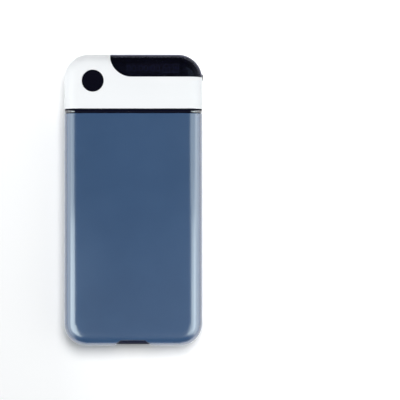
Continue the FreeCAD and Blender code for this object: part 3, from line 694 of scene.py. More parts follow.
@dataclass(frozen=True)
class Metal(Finish):
    """Bare metal with tool lines, a slow stain and bright edges."""

    roughness: float = 0.32
    lines: Point = (40.0, 2600.0, 2600.0)
    bump: float = 0.08
    stain: float = 0.12
    stain_scale: float = 90.0
    fresh: float = 1.04
    edge: float = 0.0003
    worn: float = 0.8
    rubbed: float = 1.3
    line_band: Pair = (0.25, 0.75)
    spread: Pair = (0.75, 1.3)
    depth: float = 0.0001

    def build(self) -> Material:
        """Makes the material.

        Returns:
            The material.
        """
        graph, shader, material = new_material(self.name)
        x, y, z = self.lines
        lines = graph.effect(EFFECTS.brush, Along_X=x, Along_Y=y, Along_Z=z).outputs["Lines"]
        cloud = graph.effect(EFFECTS.grain, Cloud_Scale=self.stain_scale).outputs["Cloud"]
        wear = graph.effect(EFFECTS.wear, Radius=self.edge, Amount=self.worn).outputs["Mask"]
        base = graph.blend(cloud, self.tint(1 - self.stain), self.tint(self.fresh))
        bright = graph.blend(wear, base, self.tint(self.rubbed))
        low, high = self.spread
        rough = graph.ramp(lines, self.line_band, (self.roughness * low, self.roughness * high))
        normal = graph.bump(lines, self.bump, self.depth)
        graph.feed(shader, {"Base Color": bright, "Roughness": rough, "Normal": normal, "Metallic": 1.0})
        return material


@dataclass(frozen=True)
class Mat(Finish):
    """Felt or foam: fibres or open cells, a tone that wanders, a painted highlight on the raised fibres, and
    a sheen.
    """

    scale: float = 900.0
    cells: float = 0.0
    sheen: float = 0.4
    bump: float = 0.5
    sheen_roughness: float = 0.5
    tone_band: Pair = (0.3, 0.7)
    tones: Pair = (0.7, 1.35)
    # Painted highlight: fibres whose height lies in this band are painted up to this many times lighter.
    painted_highlight_band: Pair = (0.1, 0.9)
    lit: float = 1.8
    roughness: Pair = (0.85, 1.0)
    depth: float = 0.0003

    def build(self) -> Material:
        """Makes the material.

        Returns:
            The material.
        """
        graph, shader, material = new_material(self.name)
        fibre = graph.effect(EFFECTS.fibre, Scale=self.scale, Cells=self.cells).outputs
        low, high = (self.tint(factor) for factor in self.tones)
        tone = graph.blend(graph.ramp(fibre["Tone"], self.tone_band), low, high)
        # Painted highlight: the raised fibres are painted lighter, as if they caught the light.
        lit = graph.blend(graph.ramp(fibre["Height"], self.painted_highlight_band), tone, self.tint(self.lit))
        rough = graph.ramp(fibre["Height"], (0.0, 1.0), self.roughness)
        normal = graph.bump(fibre["Height"], self.bump, self.depth)
        graph.feed(shader, {"Base Color": lit, "Roughness": rough, "Normal": normal})
        graph.feed(shader, {"Sheen Weight": self.sheen, "Sheen Roughness": self.sheen_roughness})
        return material


@dataclass(frozen=True)
class Smoked(Finish):
    """Smoked clear plastic over the display."""

    roughness: float = 0.03
    ior: float = 1.22
    clear: float = 0.975
    gloss_tint: Colour = (0.62, 0.74, 1.0)
    grain: float = 900.0
    cloud: float = 60.0
    tones: Pair = (0.92, 1.08)
    dust: float = 0.02
    dust_roughness: float = 0.5
    bump: float = 0.01
    depth: float = 0.0002

    def build(self) -> Material:
        """Makes the material.

        Returns:
            The material.
        """
        graph, shader, material = new_material(self.name)
        grain = graph.effect(EFFECTS.grain, Grain_Scale=self.grain, Cloud_Scale=self.cloud).outputs
        dust = graph.effect(EFFECTS.dust, Amount=self.dust).outputs["Mask"]
        tint = graph.blend(grain["Cloud"], *(self.tint(factor) for factor in self.tones))
        rough = graph.math("ADD", self.roughness, graph.math("MULTIPLY", dust, self.dust_roughness))
        normal = graph.bump(grain["Height"], self.bump, self.depth)
        graph.feed(shader, {"Base Color": tint, "Roughness": rough, "Normal": normal, "IOR": self.ior})
        graph.feed(shader, {"Transmission Weight": self.clear, "Specular Tint": (*self.gloss_tint, 1.0)})
        return material


@dataclass(frozen=True)
class Glow(Finish):
    """Lit display dots, dark where their light isn't seen."""

    strength: float = 0.2
    body: float = 0.15
    cloud: float = 400.0
    light_tone: float = 0.85
    body_tone: float = 0.8
    roughness: float = 0.6

    def build(self) -> Material:
        """Makes the material.

        Returns:
            The material.
        """
        graph, shader, material = new_material(self.name)
        cloud = graph.effect(EFFECTS.grain, Cloud_Scale=self.cloud).outputs["Cloud"]
        light = graph.blend(cloud, self.tint(self.light_tone), self.colour)
        dark = graph.blend(cloud, self.tint(self.body_tone * self.body), self.tint(self.body))
        graph.feed(shader, {"Base Color": dark, "Emission Color": light})
        graph.feed(shader, {"Emission Strength": self.strength, "Roughness": self.roughness})
        return material


CLEAN = {"worn": 0.0, "dust": 0.0}
FINISHES: tuple[Finish, ...] = (
    Plastic(
        "sleeve_blue", (0.0295, 0.0775, 0.176), 0.185, coat=1.0, coat_roughness=0.08, ior=2.2,
        bump=0.02, worn=0.12, dust=0.0,
    ),
    Plastic("collar_navy", (0.001, 0.0015, 0.0115), 0.08, ior=2.5, bump=0.01, worn=0.1, dust=0.0),
    Plastic(
        "cap_white", (0.865, 0.875, 0.885), 0.3, coat=0.1, coat_roughness=0.12,
        bump=0.015, tone=0.008, **CLEAN,
    ),
    Plastic("seal_black", (0.004, 0.004, 0.010), 0.75, ior=1.25, bump=0.1, worn=0.05, dust=0.0),
    Smoked("window_black", (0.08, 0.08, 0.14)),
    Plastic("button_black", (0.0028, 0.0028, 0.0075), 0.16, ior=1.25, bump=0.03, worn=0.15, dust=0.0),
    Plastic("slider_black", (0.005, 0.005, 0.010), 0.48, ior=1.35, bump=0.08, worn=0.35),
    Plastic("port_navy", (0.0035, 0.006, 0.024), 0.5, ior=1.18, bump=0.06, worn=0.1, dust=0.0),
    Mat("pad_felt", (0.040, 0.043, 0.055)),
    Plastic("chassis_grey", (0.085, 0.09, 0.1), 0.55, bump=0.1, grain=1400.0),
    Metal("plate_steel", (0.56, 0.57, 0.58), 0.34),
    Metal("screw_steel", (0.50, 0.51, 0.52), 0.26, (900.0, 900.0, 2600.0)),
    Metal("motor_can", (0.62, 0.62, 0.60), 0.28),
    Metal("brass", (0.72, 0.52, 0.21), 0.3, (2600.0, 900.0, 900.0)),
    Plastic("board_green", (0.018, 0.13, 0.055), 0.35, coat=0.2, tone=0.2, bump=0.1),
    Plastic("chip_black", (0.016, 0.016, 0.017), 0.6, bump=0.15, grain=3000.0),
    Metal("switch_shell", (0.60, 0.60, 0.58), 0.3),
    Metal("battery_foil", (0.52, 0.53, 0.55), 0.42, (300.0, 300.0, 300.0), 0.3),
    Plastic("lead_rubber", (0.33, 0.02, 0.015), 0.5, bump=0.05),
    Mat("foam_black", (0.026, 0.026, 0.028), 1300.0, cells=0.8, sheen=0.2, bump=0.6),
    Plastic("panel_glass", (0.004, 0.004, 0.005), 0.08, coat=0.4, coat_roughness=0.03, bump=0.0),
    Plastic("flex_amber", (0.33, 0.14, 0.02), 0.3, coat=0.2, tone=0.12),
    Plastic("mask_black", (0.004, 0.004, 0.012), 0.7, ior=1.25, bump=0.02, **CLEAN),
    Glow("pixel_glow", (0.60, 0.72, 1.0)),
)
MATERIALS = {finish.name: finish.build() for finish in FINISHES}


# ------------------------------------------------------------------ the case's common form


BELOW = -4.0
ABOVE = 26.0
PAST = 4.0
CLEAR = 1.0
ROOM = (-49.0, 49.0)
LONG = (-99.0, 99.0)
TALL = (BELOW, ABOVE)


@dataclass(frozen=True)
class CaseForm:
    """The outside that sleeve, collar and cap share, in millimetres."""

    half_width: float = 45.0
    tail: float = -95.0
    end: float = 95.0
    height: float = 22.0
    tail_corner: float = 14.5
    end_corner: float = 16.0
    edge: float = 7.8
    wall: float = 2.0
    parting: float = 8.0
    cap_edge: float = 59.24
    sleeve_edge: float = 56.2
    notch_inner: float = 7.9
    notch_outer: float = 14.0
    notch_top: float = -90.9
    notch_slope: float = 1.3
    lip: float = 0.9
    lip_height: float = 1.0
    lip_foot: float = 2.0
    gap: float = 0.1
    steps: int = 24
    ease: float = 1.9
    ease_angle: float = 22.5

    def ring(self, inset: float, height: float) -> list[Vector]:
        """The case's plan, shrunk evenly, at one height.

        Args:
            inset: How far it is shrunk.
            height: The height that it lies at.

        Returns:
            Its corners, anticlockwise from the lower right.
        """
        x = self.half_width - inset
        low, high = self.tail + inset, self.end - inset
        tail, end = self.tail_corner - inset, self.end_corner - inset
        corners = (
            ((x - tail, low + tail), tail, -90),
            ((x - end, high - end), end, 0),
            ((end - x, high - end), end, 90),
            ((tail - x, low + tail), tail, 180),
        )
        plan = [point for corner in corners for point in quarter(*corner, self.steps)]
        return [Vector((*point, height)) for point in plan]

    def solid(self, inset: float = 0.0) -> Piece:
        """The whole case as one rounded solid, shrunk evenly.

        Args:
            inset: How far it is shrunk.

        Returns:
            The solid.
        """
        reach = self.edge - inset
        rings = []
        for middle, start in ((self.edge, 0), (self.height - self.edge, 90)):
            for i in range(self.steps + 1):
                degrees = start + 90 * i / self.steps
                turn, lean = math.radians(degrees), 90 - abs(90 - degrees)
                ease = self.ease * max(0.0, 1 - lean / self.ease_angle) ** 2
                across = self.edge - reach * math.sin(turn) + ease
                rings.append(self.ring(across, middle - reach * math.cos(turn)))
        return loft(rings)

    def within(self, inset: float, x: Pair = ROOM, y: Pair = LONG, z: Pair = TALL) -> Piece:
        """The part of the shrunk solid that lies in a block."""
        return combine(self.solid(inset), (Cut.KEEP, block(x, y, z)))

    def half_shell(self, front: bool, span: Pair) -> Piece:
        """One moulded half of the skin, with its share of the lip along the parting line.

        Args:
            front: The upper half, or the lower one.
            span: Its range along the case.

        Returns:
            The half.
        """
        lip, lip_top = self.wall - self.lip, self.parting + self.lip_height
        if front:
            z = (self.parting, ABOVE)
            seat = self.within(lip - self.gap, z=(BELOW, lip_top + self.gap))
            step = (Cut.TAKE, seat)
        else:
            z = (BELOW, self.parting)
            step = (Cut.JOIN, self.within(lip, y=span, z=(self.parting - self.lip_foot, lip_top)))
        skin = (Cut.KEEP, block(ROOM, span, z))
        return combine(self.solid(), skin, step, (Cut.TAKE, self.solid(self.wall)))

    def notch(self, shrink: float = 0.0) -> Piece:
        """The trapezium in the bottom end that the cable insert fills.

        Args:
            shrink: How far its sides move in.

        Returns:
            The solid.
        """
        low, top = self.tail - CLEAR, self.notch_top - shrink
        inner, outer = self.notch_inner - shrink, self.notch_outer - self.notch_slope * shrink
        return prism([(-outer, low), (outer, low), (inner, top), (-inner, top)], TALL)


@dataclass(frozen=True)
class Layout:
    """Places that more than one sub-assembly uses, in millimetres."""

    bosses: tuple[Pair, ...] = ((-38.0, 74.6), (33.6, 74.6), (36.21, 86.21), (-36.21, 86.21))
    rivets: tuple[Pair, ...] = ((-23.7, 65.0), (-7.13, 65.0), (9.43, 65.0), (26.0, 65.0))
    button: Pair = (-25.9, 77.2)
    screw_line: Pair = (84.0, 9.8)


FORM = CaseForm()
LAYOUT = Layout()


# ------------------------------------------------------------------ geometry trees


class Repeater:
    """A geometry tree with named inputs, and the ways that its parts are made and placed."""

    def __init__(self, name: str, inputs: dict[str, float]) -> None:
        """Starts a tree whose inputs are the points, the sizes and the finish.

        Args:
            name: The tree's name.
            inputs: Each size's default, in millimetres or a count.
        """
        self.tree = bpy.data.node_groups.new(name, "GeometryNodeTree")
        face = self.tree.interface
        face.new_socket("Points", in_out="INPUT", socket_type="NodeSocketGeometry")
        for label, value in inputs.items():
            face.new_socket(label, in_out="INPUT", socket_type="NodeSocketFloat").default_value = value
        face.new_socket("Finish", in_out="INPUT", socket_type="NodeSocketMaterial")
        face.new_socket("Pieces", in_out="OUTPUT", socket_type="NodeSocketGeometry")
        self.graph = Graph(self.tree)
        self.given = self.tree.nodes.new("NodeGroupInput").outputs
        self.end = self.tree.nodes.new("NodeGroupOutput")

    def point(self, x: Value = 0.0, y: Value = 0.0, z: Value = 0.0) -> Socket:
        """A vector made of three sizes."""
        return self.graph.add("ShaderNodeCombineXYZ", {"X": x, "Y": y, "Z": z}).outputs[0]

    def raised(self, shape: Socket, height: Value) -> Socket:
        """A shape moved up by a height."""
        values = {"Geometry": shape, "Translation": self.point(z=height)}
        return self.graph.add("GeometryNodeTransform", values).outputs["Geometry"]

    def barrel(self, radius: Value, length: Value, start: Value = 0.0, sides: Value = 32) -> Socket:
        """A round or many-sided bar that stands on Z.

        Args:
            radius: Its radius.
            length: Its length.
            start: The height of its foot.
            sides: Its number of sides.

        Returns:
            The bar.
        """
        sizes = {"Vertices": sides, "Radius": radius, "Depth": length}
        bar = self.graph.add("GeometryNodeMeshCylinder", sizes, fill_type="NGON").outputs["Mesh"]
        return self.raised(bar, self.graph.math("ADD", start, self.graph.math("DIVIDE", length, 2.0)))

    def cut(self, shape: Socket, tool: Socket) -> Socket:
        """A shape without what another fills."""
        solids = {"Mesh 1": shape, "Mesh 2": tool}
        return self.graph.add("GeometryNodeMeshBoolean", solids, operation="DIFFERENCE").outputs["Mesh"]

    def thread(self, radius: Value, depth: Value, pitch: Value, length: Value, start: Value) -> Socket:
        """A thread's ridge, wound round a bar that stands on Z.

        Args:
            radius: The bar's radius.
            depth: How far the ridge stands out.
            pitch: The height of one turn.
            length: The thread's length.
            start: The height of its foot.

        Returns:
            The ridge.
        """
        coil = {"Resolution": 20, "Start Radius": radius, "End Radius": radius, "Height": length}
        turns = {"Rotations": self.graph.math("DIVIDE", length, pitch), "Reverse": True}
        path = self.graph.add("GeometryNodeCurveSpiral", {**coil, **turns}).outputs["Curve"]
        ring = {"Resolution": 4, "Radius": depth}
        section = self.graph.add("GeometryNodeCurvePrimitiveCircle", ring, mode="RADIUS").outputs["Curve"]
        sweep = {"Curve": path, "Profile Curve": section, "Fill Caps": True}
        return self.raised(self.graph.add("GeometryNodeCurveToMesh", sweep).outputs["Mesh"], start)

    def joined(self, *shapes: Socket) -> Socket:
        """Several shapes as one.

        Args:
            shapes: The shapes.

        Returns:
            The joined shape.
        """
        node = self.graph.add("GeometryNodeJoinGeometry")
        for shape in shapes:
            self.tree.links.new(shape, node.inputs[0])
        return node.outputs[0]

    def close(self, shape: Socket, turn: Value = (0.0, 0.0, 0.0)) -> "Repeater":
        """Sets the shape on every point, and ends the tree.

        Args:
            shape: What is repeated.
            turn: How each one is turned, in radians.

        Returns:
            This tree, ready for use.
        """
        values = {"Points": self.given["Points"], "Instance": shape, "Rotation": turn}
        placed = self.graph.add("GeometryNodeInstanceOnPoints", values).outputs["Instances"]
        real = self.graph.add("GeometryNodeRealizeInstances", {"Geometry": placed}).outputs["Geometry"]
        dress = {"Geometry": real, "Material": self.given["Finish"]}
        done = self.graph.add("GeometryNodeSetMaterial", dress).outputs["Geometry"]
        self.graph.feed(self.end, {"Pieces": done})
        return self

    def grow(self, points: Sequence[Point], finish: str, **sizes: float) -> Piece:
        """Makes the pieces as one plain mesh.

        Args:
            points: Where each one stands, in millimetres.
            finish: Its finish.
            sizes: The tree's inputs by name.

        Returns:
            The object, in millimetres, with its modifier applied.
        """
        piece = mesh_object(points, [])
        change = piece.modifiers.new("repeat", "NODES")
        change.node_group = self.tree
        inputs = [item for item in self.tree.interface.items_tree if item.in_out == "INPUT"]
        ids = {item.name: item.identifier for item in inputs}
        for label, value in sizes.items():
            change[ids[label.replace("_", " ")]] = value
        change[ids["Finish"]] = MATERIALS[finish]
        return crease(bake(piece))


def screw_tree(
    root_share: float = 0.84, ridge_share: float = 0.36, thread_share: float = 0.94, bare: float = 0.2
) -> Repeater:
    """Screws with a socketed head at the foot and a threaded shank above it.

    Args:
        root_share: The thread's root as a share of the shank's radius.
        ridge_share: The ridge's depth as a share of the pitch.
        thread_share: The threaded share of the shank.
        bare: The bare length under the head.

    Returns:
        The tree.
    """
    head_sizes = {"Head Radius": 1.8, "Head Height": 1.2, "Socket Radius": 0.9, "Socket Depth": 0.6}
    shank_sizes = {"Shank Radius": 1.0, "Shank Length": 8.0, "Pitch": 0.45, "Turn": 0.0}
    make = Repeater("screws", {**head_sizes, **shank_sizes})
    given, sums = make.given, make.graph.math
    deep, foot = (sums("MULTIPLY", given["Socket Depth"], share) for share in (2.0, -1.0))
    socket = make.barrel(given["Socket Radius"], deep, foot, sides=6)
    head = make.cut(make.barrel(given["Head Radius"], given["Head Height"]), socket)
    root = sums("MULTIPLY", given["Shank Radius"], root_share)
    shank = make.barrel(root, given["Shank Length"], given["Head Height"], sides=20)
    depth = sums("MULTIPLY", given["Pitch"], ridge_share)
    length = sums("MULTIPLY", given["Shank Length"], thread_share)
    ridge = make.thread(root, depth, given["Pitch"], length, sums("ADD", given["Head Height"], bare))
    return make.close(make.joined(head, shank, ridge), make.point(x=given["Turn"]))


def rivet_tree(dimple_share: float = 0.45, dimple_depth: float = 0.15) -> Repeater:
    """Rivets that stand on their heads.

    Args:
        dimple_share: The tail's dimple as a share of its radius.
        dimple_depth: How deep it is.

    Returns:
        The tree.
    """
    radii = {"Head Radius": 1.9, "Tail Radius": 1.6, "Shank Radius": 0.9}
    make = Repeater("rivets", {**radii, "Height": 2.2, "Cap Height": 0.5})
    given, sums = make.given, make.graph.math
    head = make.barrel(given["Head Radius"], given["Cap Height"], sides=28)
    shank = make.barrel(given["Shank Radius"], given["Height"], sides=20)
    hollow = sums("MULTIPLY", given["Tail Radius"], dimple_share)
    level = sums("SUBTRACT", given["Height"], dimple_depth)
    dimple = make.barrel(hollow, 2 * dimple_depth, level, sides=16)
    foot = sums("SUBTRACT", given["Height"], given["Cap Height"])
    tail = make.cut(make.barrel(given["Tail Radius"], given["Cap Height"], foot, sides=28), dimple)
    return make.close(make.joined(head, shank, tail))


def spindle_tree() -> Repeater:
    """A lead screw along X: journal, threaded length, journal.

    Returns:
        The tree.
    """
    bar = {"Journal Radius": 1.0, "Length": 16.0, "Root Radius": 1.35}
    screw = {"Ridge": 0.15, "Pitch": 0.5, "Thread Start": 2.6, "Thread Length": 10.1}
    make = Repeater("spindles", {**bar, **screw})
    given = make.given
    journal = make.barrel(given["Journal Radius"], given["Length"])
    radius, length, start = given["Root Radius"], given["Thread Length"], given["Thread Start"]
    ridge = make.thread(radius, given["Ridge"], given["Pitch"], length, start)
    root = make.barrel(radius, length, start)
    return make.close(make.joined(journal, root, ridge), (0.0, math.pi / 2, 0.0))


def dot_tree() -> Repeater:
    """Small round dots that lie flat, as on a display."""
    make = Repeater("dots", {"Radius": 0.2, "Height": 0.05, "Sides": 8.0})
    return make.close(make.barrel(make.given["Radius"], make.given["Height"], sides=make.given["Sides"]))


def rib_tree() -> Repeater:
    """Straight ribs or legs, each a small block about its point.

    Returns:
        The tree.
    """
    make = Repeater("ribs", {f"Size {axis}": 0.3 for axis in "XYZ"})
    size = make.point(*(make.given[f"Size {axis}"] for axis in "XYZ"))
    return make.close(make.graph.add("GeometryNodeMeshCube", {"Size": size}).outputs["Mesh"])


SCREWS, RIVETS, SPINDLES, DOTS, RIBS = screw_tree(), rivet_tree(), spindle_tree(), dot_tree(), rib_tree()


# ------------------------------------------------------------------ sleeve


@dataclass
class Sleeve:
    """The blue sleeve: two moulded halves that meet at a parting line, with a notch for the cable."""

    edge_round: float = 0.25

    def build(self) -> None:
        """Makes both halves."""
        span = (FORM.tail - PAST, FORM.sleeve_edge)
        for front, name in ((True, "sleeve_front"), (False, "sleeve_back")):
            piece = combine(FORM.half_shell(front, span), (Cut.TAKE, FORM.notch()))
            soften(piece, self.edge_round)
            finish_piece(piece, name, "sleeve", "sleeve_blue", [f"{name}_shell"])


@dataclass
class Collar:
    """The dark ring between sleeve and cap, with the neck that the cap slides on."""

    flange: Pair = (56.3, 58.7)
    flange_inset: float = 0.35
    overlap: float = 0.7
    skirt_start: float = 48.35
    skirt_inset: float = 2.1
    neck_end: float = 68.5
    neck_inset: float = 2.25
    bay_half: float = 40.95
    bay_height: Pair = (4.65, 18.15)
    bay_corner: float = 3.75
    bay_reach: Pair = (40.0, 80.0)
    pocket: tuple[Pair, Pair, Pair] = ((-27.8, 30.1), (61.4, 74.0), (BELOW, 3.45))
    rivet_holes: tuple[tuple[float, Pair], ...] = ((0.95, (BELOW, 6.0)), (1.7, (4.05, 6.0)))
    edge_round: float = 0.12
    bead_depth: float = 0.75
    bead_reach: float = 0.99
    bead_steps: int = 14
    seal: Pair = (58.3, 59.14)
    seal_inset: float = 0.3
    seal_grip: float = 0.15
    seal_round: float = 0.15

    def _bead(self) -> Piece:
        """The flange, whose outside is rounded along the case like a bead.

        Returns:
            The flange.
        """
        rings = []
        for i in range(self.bead_steps + 1):
            share = self.bead_reach * (2 * i / self.bead_steps - 1)
            inset = self.flange_inset + self.bead_depth * (1 - math.sqrt(1 - share * share))
            height = (inset, FORM.height - inset)
            section = rounded(about(0.0, FORM.half_width - inset), height, FORM.edge - inset, steps=16)
            y = sum(self.flange) / 2 + (i / self.bead_steps - 0.5) * (self.flange[1] - self.flange[0])
            rings.append([Axis.Y.point(x, z, y) for x, z in section])
        return loft(rings)

    def build(self) -> None:
        """Makes the ring in one piece, and its seal."""
        skirt = FORM.within(self.skirt_inset, y=(self.skirt_start, self.flange[0] + self.overlap))
        neck = FORM.within(self.neck_inset, y=(self.flange[1] - self.overlap, self.neck_end))
        mouth = rounded(about(0.0, self.bay_half), self.bay_height, self.bay_corner)
        bay = prism(mouth, self.bay_reach, Axis.Y)
        holes = [peg(place, *hole) for place in LAYOUT.rivets for hole in self.rivet_holes]
        cuts = [(Cut.TAKE, tool) for tool in (bay, block(*self.pocket), *holes)]
        ring = combine(self._bead(), (Cut.JOIN, skirt), (Cut.JOIN, neck), *cuts)
        soften(ring, self.edge_round)
        finish_piece(ring, "collar", "sleeve", "collar_navy", ["neck_collar"])
        self._seal()

    def _seal(self) -> None:
        """The soft ring that fills the line between the bead and the cap."""
        inside = FORM.within(self.neck_inset - self.seal_grip, y=widened(self.seal, CLEAR))
        skin = (Cut.KEEP, block(ROOM, self.seal, TALL))
        seal = combine(FORM.solid(self.seal_inset), skin, (Cut.TAKE, inside))
        soften(seal, self.seal_round)
        finish_piece(seal, "collar_seal", "sleeve", "foam_black", finish="seal_black")


# ------------------------------------------------------------------ cap


@dataclass
class Window:
    """The dark window that wraps over the end and the right side: a smoked lens on a black mask."""

    left: float = -14.8
    near: float = 79.8
    corner: float = 14.0
    corner_steps: int = 32
    low: float = 13.4
    lens: float = 0.75
    split: float = 0.01
    thickness: float = 1.1
    opening: tuple[Pair, Pair, Pair] = ((-4.39, 30.41), (82.2, 88.6), (12.0, ABOVE))
    edge_round: float = 0.12
    mask_round: float = 0.05

    def plan(self, grow: float = 0.0) -> list[Pair]:
        """The window's plan, which runs past the case's end and side.

        Args:
            grow: How far its two inner edges move out.

        Returns:
            The corners.
        """
        left, near, radius = self.left - grow, self.near - grow, self.corner + grow
        right, end = FORM.half_width + PAST, FORM.end + PAST
        turn = quarter((left + radius, near + radius), radius, 180, self.corner_steps)
        return [*turn, (right, near), (right, end), (left, end)]

    def _skin(self, outer: float, inner: float) -> Piece:
        """The skin between two depths under the case's surface, within the window's plan."""
        area = prism(self.plan(), (self.low, ABOVE))
        return combine(FORM.solid(outer), (Cut.KEEP, area), (Cut.TAKE, FORM.solid(inner)))

    def build(self) -> None:
        """Makes the lens and the mask."""
        lens = soften(self._skin(0.0, self.lens), self.edge_round)
        finish_piece(lens, "window_lens", "cap", "window_black", ["display_window"])
        mask = combine(self._skin(self.lens + self.split, self.thickness), (Cut.TAKE, block(*self.opening)))
        soften(mask, self.mask_round, segments=1)
        finish_piece(mask, "window_mask", "cap", "window_black", ["display_window"], "mask_black")


@dataclass
class Cap:
    """The white lock cap: front and back covers with their bosses, rim, rails and openings."""

    span: Pair = (FORM.cap_edge, FORM.end + PAST)
    edge_round: float = 0.22
    bite: float = 0.3
    boss_radius: float = 2.6
    front_boss_low: float = 4.7
    boss_sides: int = 40
    pilot: tuple[float, Pair, int] = (1.05, (2.0, 11.3), 24)
    panel: tuple[Pair, Pair] = ((-6.49, 32.51), (80.4, 90.4))
    panel_inset: float = 1.0
    panel_low: float = 19.3
    recess_gap: float = 0.05
    recess_depth: float = 1.2
    recess_low: float = 13.35
    display: tuple[Pair, Pair, Pair] = ((-4.89, 30.91), (82.0, 88.8), (12.0, ABOVE))
    button: tuple[float, Pair, int] = (7.15, (19.9, ABOVE), 96)
    socket: tuple[Pair, Pair, float] = (about(-24.61, 4.62), (9.55, 13.05), 1.35)
    socket_reach: Pair = (92.9, 99.0)
    slider: tuple[Pair, Pair, float, int] = ((74.05, 83.25), (9.1, 12.9), 0.6, 4)
    slider_reach: Pair = (41.4, 49.0)
    back_boss_z: Pair = (1.7, 3.7)
    back_holes: tuple[tuple[float, Pair], ...] = ((1.95, (BELOW, 1.8)), (1.15, (BELOW, 6.0)))
    rail_z: Pair = (1.7, 3.45)
    rails: tuple[tuple[Pair, Pair], ...] = (
        ((-20.2, 15.8), (76.05, 77.45)),
        ((-34.4, 1.41), (81.75, 83.15)),
        ((11.91, 23.3), (81.75, 83.15)),
    )

    def build(self) -> None:
        """Makes both covers."""
        for front, name, steps in ((True, "cap_front", self._front()), (False, "cap_back", self._back())):
            piece = soften(combine(FORM.half_shell(front, self.span), *steps), self.edge_round)
            finish_piece(piece, name, "cap", "cap_white", [f"{name}_cover"])

    def _front(self) -> list[Step]:
        """What is done to the front cover's shell.

        Returns:
            The steps, in order.
        """
        top = FORM.height - FORM.wall + self.bite
        boss = (self.boss_radius, (self.front_boss_low, top), self.boss_sides)
        rim = FORM.within(self.panel_inset, *self.panel, (self.panel_low, top))
        recess = prism(Window().plan(self.recess_gap), (self.recess_low, ABOVE))
        holes = (
            combine(recess, (Cut.TAKE, FORM.solid(self.recess_depth))),
            block(*self.display),
            peg(LAYOUT.button, *self.button),
            prism(rounded(*self.socket), self.socket_reach, Axis.Y),
            prism(rounded(*self.slider), self.slider_reach, Axis.X),
            *(peg(place, *self.pilot) for place in LAYOUT.bosses),
        )
        solids = [peg(place, *boss) for place in LAYOUT.bosses] + [rim]
        return [(Cut.JOIN, solid) for solid in solids] + [(Cut.TAKE, hole) for hole in holes]

    def _back(self) -> list[Step]:
        """What is done to the back cover's shell.

        Returns:
            The steps, in order.
        """
        boss = (self.boss_radius, self.back_boss_z, self.boss_sides)
        solids = [peg(place, *boss) for place in LAYOUT.bosses]
        solids += [block(x, y, self.rail_z) for x, y in self.rails]
        holes = [peg(place, *hole) for place in LAYOUT.bosses for hole in self.back_holes]
        return [(Cut.JOIN, solid) for solid in solids] + [(Cut.TAKE, hole) for hole in holes]


@dataclass
class Button:
    """The round push button: a shallow dish in a rounded rim, on a flange and a nub."""

    radius: float = 7.0
    flange_radius: float = 7.8
    nub_radius: float = 1.5
    nub_low: float = 18.7
    flange: Pair = (19.0, 19.9)
    top: float = 22.0
    rim: float = 0.35
    rim_steps: int = 6
    dish: float = 0.12
    dish_radius: float = 5.6
    dish_steps: int = 9
    sides: int = 128

    def build(self) -> None:
        """Makes the button."""
        low, high = self.flange
        nub = [(self.nub_radius, self.nub_low), (self.nub_radius, low)]
        flange = [(self.flange_radius, low), (self.flange_radius, high), (self.radius, high)]
        inner = self.radius - self.rim
        profile = nub + flange + quarter((inner, self.top - self.rim), self.rim, 0, self.rim_steps)
        for i in range(1, self.dish_steps + 1):
            share = i / self.dish_steps
            fall = self.dish * math.sin(share * math.pi / 2)
            profile.append((inner - self.dish_radius * share, self.top - fall))
        rings = []
        for radius, height in profile:
            rings.append([Vector((*point, height)) for point in disc(LAYOUT.button, radius, self.sides)])
        piece = crease(loft(rings), angle=30.0)
        finish_piece(piece, "button_disc", "push_button", "button_black", ["button_cap"])


@dataclass
class Slider:
    """The power slider: a ribbed knob in a flush frame."""

    y: Pair = (78.3, 82.3)
    z: Pair = (9.8, 12.2)
    corner: float = 0.4
    flange_x: Pair = (41.65, 42.25)
    margin: float = 0.6
    overlap: float = 0.3
    top: float = 45.6
    rib: float = 0.25
    rib_width: float = 0.32
    rib_length: float = 1.7
    ribs: int = 5
    stem: tuple[Pair, Pair, Pair] = ((40.6, 41.8), (79.55, 81.05), (10.5, 11.5))
    edge_round: float = 0.12
    rib_round: float = 0.08
    frame_round: float = 0.1

    def build(self) -> None:
        """Makes the knob, its ribs and the frame."""
        face = self.top - self.rib
        section = rounded(self.y, self.z, self.corner, steps=5)
        knob = prism(section, (self.flange_x[1] - self.overlap, face), Axis.X)
        flange = block(self.flange_x, widened(self.y, self.margin), widened(self.z, self.margin))
        combine(knob, (Cut.JOIN, flange), (Cut.JOIN, block(*self.stem)))
        soften(knob, self.edge_round, segments=3)
        finish_piece(knob, "slider_knob_body", "power_slider", "slider_black", ["slider_knob"])
        first, last = widened(self.y, -self.margin)
        step = (last - first) / (self.ribs - 1)
        points = [(face, first + i * step, sum(self.z) / 2) for i in range(self.ribs)]
        sizes = {"Size_X": 2 * self.rib, "Size_Y": self.rib_width, "Size_Z": self.rib_length}
        ribs = soften(RIBS.grow(points, "slider_black", **sizes), self.rib_round)
        finish_piece(ribs, "slider_ribs", "power_slider", "slider_black", ["slider_knob"])
        dress_copy("slider_bezel", "slider_frame", self.frame_round)


